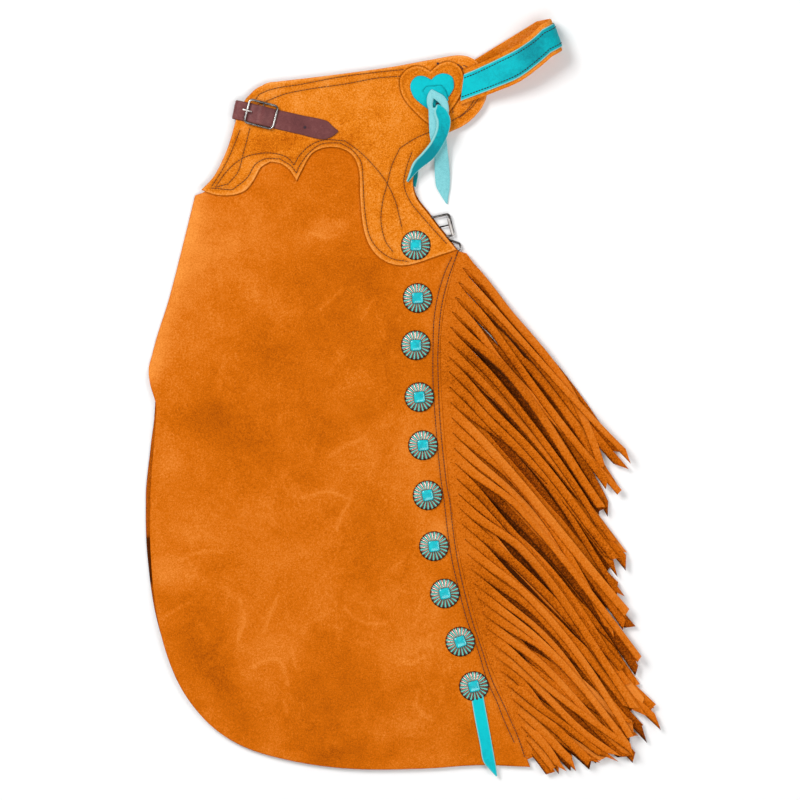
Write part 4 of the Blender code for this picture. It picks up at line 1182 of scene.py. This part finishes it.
def make_fringe(layer):
    """One layer: a strip along the seam, cut into strands that lie over each other at a few levels."""
    name, strands, strip_z, levels, rise, shift, longer, turned, seed, tone, looseness, broader = layer
    draw = random.Random(seed)
    detail = random.Random(seed + 100)
    seam = seam_edge()
    steps = np.linalg.norm(np.diff(seam, axis=0), axis=1)
    reach = np.concatenate(([0], np.cumsum(steps)))
    total = reach[-1]
    pitch = total / (SEAM_STRANDS + 0.5)

    def at(distance):
        place = np.array([np.interp(distance, reach, seam[:, k]) for k in (0, 1)])
        ahead = np.array([np.interp(distance + 1, reach, seam[:, k]) for k in (0, 1)])
        behind = np.array([np.interp(distance - 1, reach, seam[:, k]) for k in (0, 1)])
        run = (ahead - behind) / np.linalg.norm(ahead - behind)
        return place, np.array((-run[1], run[0]))

    points = []
    faces = []
    tones = []
    previous = None
    turn = 0.0
    for i in range(strands):
        from_top = (i + 0.5 * shift) * pitch
        place = (from_top + pitch / 2) / total
        corners = []
        for distance in (from_top + SLIT / 2, from_top + pitch - SLIT / 2):
            spot, out = at(distance)
            corners.append((spot + out * 0.1, spot + out * (SEAM + STRIP_WIDTH)))
        z0 = strip_z + (lie.leg_bottom(corners[0][0][None])[0] - EDGE_LIFT) * strip_z / EDGE_LIFT
        lift = min(1.0, read_table(FRINGE_FLOW, from_top / total, 3) / FULL_LIFT_LENGTH)
        level = strip_z + (levels[i % len(levels)] - strip_z) * lift
        turn = turn * TURN_MEMORY + draw.uniform(-TURN_SPREAD, TURN_SPREAD)
        length = read_table(FRINGE_FLOW, place, 3)
        length += (longer + draw.uniform(-LENGTH_SPREAD, LENGTH_SPREAD)) * length / MEAN_LENGTH
        skew = draw.uniform(-TIP_SKEW, TIP_SKEW)
        size = length / MEAN_LENGTH
        loose = min(1.0, size * FREEST) * looseness
        stray = detail.uniform(-STRAY, STRAY) * loose
        start_angle = read_table(FRINGE_FLOW, place, 1)
        end_angle = read_table(FRINGE_FLOW, place, 2) + turned * min(1.0, (1 - place) * HEM_SHARE) + turn + stray
        wave = detail.uniform(-WAVE, WAVE) * loose
        bend = detail.uniform(-BEND, BEND) * loose
        phase = detail.uniform(0.0, 1.0)
        own_width = (WIDE - detail.uniform(0.0, WIDE - NARROW) * looseness) * broader
        # the layer's tone is painted shade on the lower layers; the random part is each strand's own tone
        own = tone + detail.uniform(-0.34, 0.28)
        if i < len(FIRST_STRANDS[name]):
            wave, bend, phase, own_turn, further, own = FIRST_STRANDS[name][i]
            end_angle += own_turn - stray - turn
            length += further
            own_width = min(own_width, WIDE)
        flesh = 0.95 if detail.random() < 0.09 else 0.0
        tilt_end = detail.uniform(-0.35, 0.35)
        slope = own_width / 2 * detail.uniform(0.1, 0.5) * detail.choice((-1, 1))

        first = len(points)
        middle = (corners[0][1] + corners[1][1]) / 2
        root = middle.copy()
        stations = STRAND_STEPS + 2
        climb = rise * max(1.0, (level - strip_z) / 4.0)
        for s in range(stations):
            if s < 2:
                left = corners[0][s]
                right = corners[1][s]
                z = z0
                share = 0.0
                lean = 0.0
                crown = 0.0
            else:
                share = (s - 1) / STRAND_STEPS
                angle = start_angle + (end_angle - start_angle) * float(smooth_step(share * BEND_SHARE))
                heading = math.radians(-angle)
                ahead = np.array((math.cos(heading), math.sin(heading)))
                side = np.array((-ahead[1], ahead[0]))
                root = root + ahead * length / STRAND_STEPS
                free = float(smooth_step((share * length - FREE_FROM) / (FREE_TO - FREE_FROM)))
                sway = wave * math.sin(math.pi * share * 1.1) + bend * math.sin(2 * math.pi * (share + phase))
                middle = root + side * sway * free
                from_strip = line_distance(middle[None], seam)[0] - STRIP_WIDTH
                z = z0 + (level - z0) * float(smooth_step(from_strip / climb))
                tilt = tilt_end * float(smooth_step((share - 0.3) / 0.7))
                wide = STRAND_WIDTH + (own_width * math.cos(tilt) - STRAND_WIDTH) * free
                lean = slope * math.sin(math.pi * min(1.0, share * 1.4)) * free
                crown = 0.35 * free
                slant = skew * (1.0 if s == stations - 1 else (0.5 if s == stations - 2 else 0.0))
                left = middle + side * wide / 2 + ahead * slant
                right = middle - side * wide / 2 - ahead * slant
            for j in range(STRAND_ACROSS + 1):
                t = j / STRAND_ACROSS
                spot = left * (1 - t) + right * t
                arch = crown * (1 - (2 * t - 1) ** 2)
                points.append((spot[0], spot[1], z + arch + abs(lean) + lean * (1 - 2 * t)))
                along = float(smooth_step(share * 6))
                # painted light and shade across the strand
                rim = STRAND_LIGHT_AND_SHADE[j]
                tones.append((own + rim) * along + flesh * float(smooth_step(share * 5 - 0.5)))
        for s in range(stations - 1):
            for j in range(STRAND_ACROSS):
                a = first + s * (STRAND_ACROSS + 1) + j
                b = a + STRAND_ACROSS + 1
                faces.append((a, b, b + 1, a + 1))
        if previous is not None:
            faces.append((previous, previous + STRAND_ACROSS + 1, first + STRAND_ACROSS + 1, first))
        previous = first + STRAND_ACROSS
    thing = leaf(name + "_strands", points, faces, FRINGE_WALL, FRINGE_SUEDE, {"tone": tones})
    dress(thing, [name])
    return thing


def leaf(name, points, faces, thickness, material, attributes):
    """A closed sheet: an underside of points, and an upper side moved out along the normals."""
    points = np.array(points, float)
    normals = np.zeros_like(points)
    for face in faces:
        a, b, c = (points[face[k]] for k in (0, 1, 2))
        normal = np.cross(b - a, c - a)
        for i in face:
            normals[i] += normal
    normals /= np.maximum(np.linalg.norm(normals, axis=1), 1e-9)[:, None]
    if normals[:, 2].mean() < 0:
        faces = [tuple(reversed(face)) for face in faces]
        normals = -normals
    rim = boundary(faces)
    edge = sorted({i for pair in rim for i in pair})
    upper = points + normals * thickness
    upper[edge] -= normals[edge] * 0.35
    count = len(points)
    closed = [tuple(reversed(face)) for face in faces]
    closed += [tuple(i + count for i in face) for face in faces]
    closed += [(a, b, b + count, a + count) for a, b in rim]
    both = {label: np.concatenate((values, values)) for label, values in attributes.items()}
    return add_mesh(name, np.concatenate((points, upper)), closed, material, both)


# Conchos

def superellipse(turn, power=4.0):
    return (abs(math.cos(turn)) ** power + abs(math.sin(turn)) ** power) ** (-1 / power)


def concho_mesh(centre, turned):
    """A fluted dome with a scalloped edge, closed underneath, and its attributes: verdigris in the grooves, a dark
    rim with painted shade on the side away from the light, and a painted highlight on the ridges.
    """
    sides = CONCHO_FLUTES * 8
    profile = [
        # share of the radius, share of the height, how deep the flutes are, how green, how dark the rim is
        (0.96, 0.0, 0.0, 0.0, 1.0),
        (1.0, 0.10, 0.6, 0.0, 0.9),
        (0.985, 0.26, 0.9, 0.2, 0.75),
        (0.95, 0.38, 1.0, 0.8, 0.5),
        (0.90, 0.48, 1.0, 1.0, 0.3),
        (0.84, 0.58, 1.0, 1.0, 0.1),
        (0.76, 0.70, 1.0, 1.0, 0.0),
        (0.67, 0.80, 1.0, 1.0, 0.0),
        (0.58, 0.88, 0.9, 1.0, 0.0),
        (0.50, 0.94, 0.7, 1.0, 0.0),
        (0.42, 0.98, 0.4, 0.8, 0.2),
        (0.20, 1.0, 0.0, 0.0, 1.0),
    ]
    points = []
    groove = []
    rim_dark_and_shade = []
    ridge_highlights = []
    for share, height, fluted, green, rim in profile:
        for k in range(sides):
            turn = 2 * math.pi * k / sides
            wave = (0.5 - 0.5 * math.cos(CONCHO_FLUTES * turn)) ** 1.3
            radius = CONCHO_RADIUS * share * (1 - 0.035 * wave * fluted)
            at = turn + math.radians(turned)
            # how much this side faces the light, for the painted light and shade
            toward_light = 0.5 + 0.5 * math.cos(at - LIGHT_SIDE)
            z = centre[2] + CONCHO_HEIGHT * height - FLUTE_DEPTH * wave * fluted
            points.append((centre[0] + radius * math.cos(at), centre[1] + radius * math.sin(at), max(z, centre[2])))
            groove.append(wave * green)
            # dark rim, with painted shade on the side away from the light
            rim_dark_and_shade.append(min(1.0, rim + 0.6 * (1 - toward_light) * share ** 2))
            # painted highlight along the ridges, brighter toward the light
            ridge_highlights.append((1 - wave) ** 4 * (1 - rim) * (0.4 + toward_light))
    return points, tube_faces(len(profile), sides), {"groove": groove, "rim": rim_dark_and_shade, "ridge_highlight": ridge_highlights}


def bezel_mesh(centre, turned, z):
    """A thin lip round the square stone."""
    stations = 40
    sides = 8
    points = []
    for i in range(stations):
        turn = 2 * math.pi * i / stations
        for k in range(sides):
            tube = 2 * math.pi * k / sides
            reach = (STONE_SIDE / 2 + 0.1 + 0.2 * math.cos(tube)) * superellipse(turn, 10.0)
            at = turn + math.radians(turned)
            points.append((centre[0] + reach * math.cos(at), centre[1] + reach * math.sin(at),
                           z + 0.5 * math.sin(tube)))
    return points, tube_faces(stations, sides, closed=True)


def stone_mesh(centre, turned, z):
    sides = 32
    rings = [(0.99, 0.0), (1.0, 0.35), (0.97, 0.6), (0.88, 0.78), (0.70, 0.9), (0.45, 0.97), (0.2, 1.0)]
    points = []
    for share, height in rings:
        for k in range(sides):
            turn = 2 * math.pi * k / sides
            reach = STONE_SIDE / 2 * share * superellipse(turn, 2.0 + 7.0 * share)
            at = turn + math.radians(turned)
            points.append((centre[0] + reach * math.cos(at), centre[1] + reach * math.sin(at),
                           z + height * STONE_HEIGHT))
    return points, tube_faces(len(rings), sides)


CONCHO_TURNS = (0, 3, 2, 6, 6, 12, 7, 12, 20, 14)


def make_conchos():
    for number in range(1, 11):
        node = f"concho_{number:02d}"
        low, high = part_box(node)
        centre = ((low.x + high.x) / 2 / MM, (low.y + high.y) / 2 / MM, low.z / MM)
        turned = CONCHO_TURNS[number - 1]
        points, faces, marks = concho_mesh(centre, turned)
        dish = add_mesh(f"concho_dish_{number:02d}", points, faces, COPPER, marks)
        dress(dish, [node])
        top = centre[2] + CONCHO_HEIGHT
        lip = join(f"concho_bezel_{number:02d}", [bezel_mesh(centre, turned, top + 0.5)], BEZEL)
        dress(lip)
        gem = join(f"concho_stone_{number:02d}", [stone_mesh(centre, turned, top + SEAM)], STONE)
        dress(gem, [f"stone_{number:02d}"])


# Rosette and laces

def make_hearts():
    outline = curve(top_outline("heart_suede"), 1.8, closed=True, corner_degrees=58)
    deep = EDGE_ROUND + HEART_LINE
    ring = [outline - outward(outline) * away for away in (deep - 0.9, deep, deep + 0.9)]
    plan, faces = fill(outline, HEART_GRID, ring)
    bottoms = lie.yoke_top(plan) + SEAM
    from_edge = line_distance(plan, outline, closed=True)
    line = np.exp(-((from_edge - deep) / 0.8) ** 2)
    heart = shell("heart_patch", plan, faces, bottoms, bottoms + HEART_WALL - 0.5 * line, YOKE_SUEDE,
                  {"tone": 0.3 * np.exp(-((from_edge - EDGE_ROUND) / 1.1) ** 2) - 0.15, "seam": line * 0.55})
    dress(heart, ["heart_suede"])
    small = curve(top_outline("heart_turquoise"), 1.5, closed=True, corner_degrees=58)
    plan, faces = fill(small, HEART_GRID)
    bottoms = lie.yoke_top(plan) + SEAM * 2 + HEART_WALL
    edge = np.exp(-(line_distance(plan, small, closed=True) / 1.0) ** 2)
    # painted shade in the gap between the fold's runs
    hole = np.exp(-(line_distance(plan, photo(FOLD_HOLE)) / 2.2) ** 2)
    # painted shadow on the small heart under the lace loop's edge
    loop_edge = photo([row[:2] for row in LACE_LOOP])
    loop_shadow = np.exp(-(line_distance(plan, loop_edge) / 1.1) ** 2)
    gem = shell("heart_overlay", plan, faces, bottoms, bottoms + SMOOTH_WALL, TURQUOISE,
                {"tone": -0.3 * edge - 0.8 * loop_shadow, "seam": hole * 2.0 + loop_shadow * 0.8})
    dress(gem, ["heart_turquoise"])


def edges_from_pixels(rows, step, height=None):
    """Left and right edge lines of a lace from a table of pixels."""
    rows = np.array(rows, float)
    left = photo(rows[:, 0:2])
    right = photo(rows[:, 2:4])
    z = rows[:, 4]
    if height is not None:
        z = z + height((left + right) / 2)
    table = np.column_stack(((left + right) / 2, left, right, z))
    fine = curve(table, step, corner_degrees=70)
    return np.column_stack((fine[:, 2:4], fine[:, 6])), np.column_stack((fine[:, 4:6], fine[:, 6]))


def make_laces():
    for name, rows, material, slot, node, flat in (
        ("lace_end_pale", PALE_TAIL, PALE_TURQUOISE, "pale_leather", "lace_tail_pale", (0.016, 0.112)),
        ("lace_end_dark", DARK_TAIL, TURQUOISE, "turquoise_leather", "lace_tail_dark", (0.015, 0.098)),
        ("lace_end_hidden", HIDDEN_LACE_END, DARK_TURQUOISE, "turquoise_leather", "lace_hidden_end", (0.010, 0.024)),
    ):
        rights, lefts = edges_from_pixels(rows, 2.0)
        shade = np.linspace(-0.15, -1.9, len(lefts)) if name == "lace_end_dark" else None
        raw = (0.1, 1.7) if name == "lace_end_dark" else (0.2, 0.2)
        lace = band(name, lefts, rights, SMOOTH_WALL, material, crown=0.3, across=14, raw=raw, tone=shade)
        dress(lace, [node])
    rights, lefts = edges_from_pixels(TIE, 2.5, lie.leg_top)
    tie = band("tie_end", lefts, rights, SMOOTH_WALL, TURQUOISE, crown=0.2, raw=(0.1, 0.4))
    dress(tie, ["concho_tie"])


def make_knot():
    """The lace's loop over the small heart, and its pale fold: two runs from one apex, with a hole between."""
    def heart_top(points):
        return lie.yoke_top(points) + SEAM * 2 + HEART_WALL + SMOOTH_WALL

    lefts, rights = edges_from_pixels(LACE_LOOP, 1.5, heart_top)
    # the loop is painted darker all over, as shade
    loop = band("lace_loop", lefts, rights, 1.2, TURQUOISE, crown=0.3, raw=(-0.7, -0.7), tone=[-0.3] * len(lefts))
    dress(loop)
    for side, rows, flat, area in zip(("left", "right"), FOLD_RUNS, FOLD_FLATS, FOLD_AREAS):
        rights, lefts = edges_from_pixels(rows, 1.2, heart_top)
        run = band(f"lace_fold_{side}", lefts, rights, SMOOTH_WALL, PALE_TURQUOISE, crown=0.9, across=12)
        dress(run, ["lace_knot"])


# Belt and strap

def turned(way, angle):
    """A direction in plan, turned to the left by an angle."""
    cosine = math.cos(angle)
    sine = math.sin(angle)
    return np.array((way[0] * cosine - way[1] * sine, way[0] * sine + way[1] * cosine, 0.0))


def belt_edges(margin):
    """Edges of the belt's underside: the near run, the turn and the far run on the floor."""
    near = curve(BELT_NEAR, 6.0, corner_degrees=90)
    tops = near[:, [0, 1, 4]]
    lows = near[:, [2, 3, 4]]
    inward = lows - tops
    inward /= np.linalg.norm(inward, axis=1)[:, None]
    lefts = list(tops + inward * margin)
    rights = list(lows - inward * margin * LOW_MARGIN)
    end_left = lefts[-1]
    end_right = rights[-1]
    across = (end_left - end_right) / np.linalg.norm(end_left - end_right)
    heading = np.array((across[1], -across[0], 0))
    radius = (end_left[2] - BELT_FAR_Z) / 2
    shift = np.array((*BELT_TURN_SHIFT, 0))
    for k in range(1, BELT_TURN_STEPS + 1):
        angle = math.pi * k / BELT_TURN_STEPS
        move = heading * radius * math.sin(angle) - np.array((0, 0, radius * (1 - math.cos(angle))))
        move = move + shift * (k / BELT_TURN_STEPS)
        lefts.append(end_left + move)
        rights.append(end_right + move)
    turn_left = lefts[-1]
    turn_right = rights[-1]
    back = lefts[0] + rights[0] - end_left - end_right
    back = turned(back[:2] / np.linalg.norm(back[:2]), BELT_FAR_TURN)
    for distance in BELT_FAR:
        lefts.append(turn_left + back * distance)
        rights.append(turn_right + back * distance)
    return np.array(lefts), np.array(rights)


def make_belt():
    lefts, rights = belt_edges(0.0)
    belt = band("belt_suede", lefts, rights, STRAP_WALL, YOKE_SUEDE, across=12)
    dress(belt, ["back_belt"])
    lefts, rights = belt_edges(OVERLAY_MARGIN)
    far = np.linalg.norm(lefts - lefts[0], axis=1)
    shade = -BELT_SHADE * np.exp(-((far - BELT_SHADE_AT) / BELT_SHADE_WIDTH) ** 2)
    overlay = band("belt_smooth", lefts, rights, OVERLAY_WALL, TURQUOISE, lift=STRAP_WALL + SEAM, crown=0.15,
                   across=14, tone=shade)
    dress(overlay, ["belt_overlay"])
    parts = []
    for share_in in (True, False):
        lefts, rights = belt_edges(OVERLAY_MARGIN + BELT_STITCH_INSET)
        line = lefts if share_in else rights
        run = np.gradient((lefts + rights) / 2, axis=0)
        normal = np.cross(run, lefts - rights)
        normal /= np.linalg.norm(normal, axis=1)[:, None]
        line = line + normal * (STRAP_WALL + SEAM + OVERLAY_WALL + 0.2)
        reach = np.concatenate(([0], np.cumsum(np.linalg.norm(np.diff(line, axis=0), axis=1))))
        for place in np.arange(2.0, reach[-1] - 2.0, STITCH_PITCH):
            at = np.array([np.interp(place, reach, line[:, k]) for k in range(3)])
            ahead = np.array([np.interp(place + 1, reach, line[:, k]) for k in range(3)]) - at
            up = np.array([np.interp(place, reach, normal[:, k]) for k in range(3)])
            parts.append(stitch(at, ahead / np.linalg.norm(ahead), up / np.linalg.norm(up), BELT_STITCH_WIDTH))
    threads = join("belt_stitches", parts, BELT_THREAD)
    dress(threads)


def make_strap():
    rows = np.array(STRAP_ROUTE, float)
    level = lie.yoke_top(np.column_stack((np.maximum(rows[:, 0], STRAP_LEVEL_FROM), rows[:, 1])))
    rows[:, 2] += level
    fine = curve(rows, 2.5, corner_degrees=90)
    run = np.gradient(fine[:, :2], axis=0)
    side = np.column_stack((-run[:, 1], run[:, 0])) / np.linalg.norm(run, axis=1)[:, None]
    lefts = np.column_stack((fine[:, :2] + side * fine[:, 3:] / 2, fine[:, 2]))
    rights = np.column_stack((fine[:, :2] - side * fine[:, 3:] / 2, fine[:, 2]))
    back = np.append(-run[0] / np.linalg.norm(run[0]), 0)
    drop = lefts[0, 2] - STRAP_WALL - SEAM
    wraps = []
    for k in range(1, STRAP_WRAP_STEPS + 1):
        angle = math.pi * k / STRAP_WRAP_STEPS
        wraps.append(back * STRAP_WRAP_RADIUS * math.sin(angle) - np.array((0, 0, drop / 2 * (1 - math.cos(angle)))))
    wraps.append(wraps[-1] - back * STRAP_RETURN)
    wraps = np.array(wraps[::-1])
    lefts = np.concatenate((lefts[0] + wraps, lefts))
    rights = np.concatenate((rights[0] + wraps, rights))
    strap = band("strap_leather", lefts, rights, STRAP_WALL, BURGUNDY, crown=0.15, across=12)
    dress(strap, ["front_strap"])
    # a dark dish of painted shade in the strap's hole
    hole = photo([STRAP_HOLE])
    eye = join("strap_hole_shade", [hole_shade_dish(hole[0], lie.yoke_top(hole)[0] + 0.3 + STRAP_WALL + 0.15, 1.6)], DARK_THREAD)
    dress(eye)


# Wires

def wire_frame(name, spec, z, node, material):
    """A smooth closed wire with rounded corners."""
    centre, size, corner, wire, angle = spec
    half_x = size[0] / 2 - corner
    half_y = size[1] / 2 - corner
    path = []
    for quarter, (sx, sy) in enumerate(((1, 1), (-1, 1), (-1, -1), (1, -1))):
        for k in range(9):
            turn = math.pi / 2 * (quarter + k / 8)
            path.append((sx * half_x + corner * math.cos(turn), sy * half_y + corner * math.sin(turn), turn))
    tilt = math.radians(angle)
    points = []
    sides = 16
    for x, y, turn in path:
        for k in range(sides):
            tube = 2 * math.pi * k / sides
            out = wire / 2 * math.cos(tube)
            px = x + out * math.cos(turn)
            py = y + out * math.sin(turn)
            points.append((
                centre[0] + px * math.cos(tilt) - py * math.sin(tilt),
                centre[1] + px * math.sin(tilt) + py * math.cos(tilt),
                z + wire / 2 * math.sin(tube),
            ))
    ring = join(name, [(points, tube_faces(len(path), sides, closed=True))], material)
    return dress(ring, [node])


def rod(start, end, radius):
    """A round rod with rounded ends."""
    start = np.array(start, float)
    end = np.array(end, float)
    ahead = (end - start) / np.linalg.norm(end - start)
    side = np.cross(ahead, (0, 0, 1.0))
    up = np.cross(side, ahead)
    sides = 16
    points = []
    for at, size in ((start, 0.6), (start + ahead * 0.4, 1.0), (end - ahead * 0.4, 1.0), (end, 0.6)):
        for k in range(sides):
            turn = 2 * math.pi * k / sides
            points.append(at + (side * math.cos(turn) + up * math.sin(turn)) * radius * size)
    return points, tube_faces(4, sides)


def middle_height(node):
    low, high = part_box(node)
    return (low.z + high.z) / 2 / MM


def make_wires():
    wire_frame("front_frame", FRONT_FRAME, middle_height("front_buckle_frame"), "front_buckle_frame", NICKEL)
    z = middle_height("thigh_buckle_frame")
    wire_frame("thigh_frame", THIGH_FRAME, z, "thigh_buckle_frame", PAINTED_DARK_NICKEL)
    wire_frame("thigh_keeper", THIGH_LOOP, middle_height("thigh_loop"), "thigh_loop", PAINTED_DARK_NICKEL)
    start, end = photo(ROLLER[:2])
    dress(join("thigh_roller", [rod((*start, z), (*end, z), ROLLER[2])], PALE_NICKEL))
    for node, material in (
        ("front_buckle_bar", NICKEL),
        ("front_buckle_prong", PALE_NICKEL),
        ("thigh_buckle_prong", PAINTED_DARK_NICKEL),
        ("front_chape", BURGUNDY),
        ("thigh_tab", FOLDED_SUEDE),
    ):
        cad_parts[node].data.materials.clear()
        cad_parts[node].data.materials.append(material)


# Floor, light and camera

def make_stage():
    size = 4.0
    mesh = bpy.data.meshes.new("floor")
    mesh.from_pydata([(-size, -size, -0.0003), (size, -size, -0.0003), (size, size, -0.0003), (-size, size, -0.0003)],
                     [], [(0, 1, 2, 3)])
    paint = Paint("pale_floor", 0.9)
    soft = paint.noise(3, 2)
    paint.to("Base Color", paint.ramp(soft, [(0.3, (0.92, 0.92, 0.92)), (0.7, (0.94, 0.94, 0.94))]))
    mesh.materials.append(paint.material)
    floor = bpy.data.objects.new("floor", mesh)
    bpy.context.scene.collection.objects.link(floor)


def make_light(name, place, size, power):
    data = bpy.data.lights.new(name, "AREA")
    data.shape = "RECTANGLE"
    data.size = size[0]
    data.size_y = size[1]
    data.energy = power
    lamp = bpy.data.objects.new(name, data)
    lamp.location = place
    lamp.rotation_mode = "QUATERNION"
    lamp.rotation_quaternion = (-Vector(place)).to_track_quat("-Z", "Y")
    bpy.context.scene.collection.objects.link(lamp)


def make_lights():
    make_light("softbox_left", (-2.2, 1.9, 3.3), (1.8, 1.8), 128)
    make_light("softbox_right", (2.6, -0.2, 3.2), (2.2, 2.2), 50)
    make_light("softbox_top", (0.3, -1.6, 3.4), (1.8, 1.8), 33)
    world = bpy.data.worlds.new("studio")
    bpy.context.scene.world = world
    world.use_nodes = True
    tree = world.node_tree
    place = tree.nodes.new("ShaderNodeTexCoord")
    split = tree.nodes.new("ShaderNodeSeparateXYZ")
    ramp = tree.nodes.new("ShaderNodeValToRGB")
    for element, (height, grey) in zip(ramp.color_ramp.elements, ((0.05, 0.30), (0.75, 1.0))):
        element.position = height
        element.color = (grey, grey, grey, 1.0)
    tree.links.new(place.outputs["Generated"], split.inputs["Vector"])
    tree.links.new(split.outputs["Z"], ramp.inputs["Fac"])
    tree.links.new(ramp.outputs["Color"], tree.nodes["Background"].inputs["Color"])
    tree.nodes["Background"].inputs["Strength"].default_value = 0.29


CAMERA_LENS = 300.0
CAMERA_SENSOR = 36.0
FOCUS_HEIGHT = 8.0     # the leather's height, where a pixel has its size


def make_camera():
    data = bpy.data.cameras.new("camera")
    data.lens = CAMERA_LENS
    data.sensor_width = CAMERA_SENSOR
    centre = photo([(PICTURE / 2, PICTURE / 2)])[0]
    distance = PICTURE * PIXEL * CAMERA_LENS / CAMERA_SENSOR
    camera = bpy.data.objects.new("camera", data)
    camera.location = (centre[0] * MM, centre[1] * MM, (distance + FOCUS_HEIGHT) * MM)
    bpy.context.scene.collection.objects.link(camera)
    bpy.context.scene.camera = camera


make_stage()
make_lights()
make_camera()
bpy.context.scene.view_settings.view_transform = "Standard"

make_folded()
make_leg()
make_yoke()
strands = [make_fringe(layer) for layer in FRINGE_LAYERS]
make_conchos()
make_hearts()
make_laces()
make_knot()
make_belt()
make_strap()
make_wires()
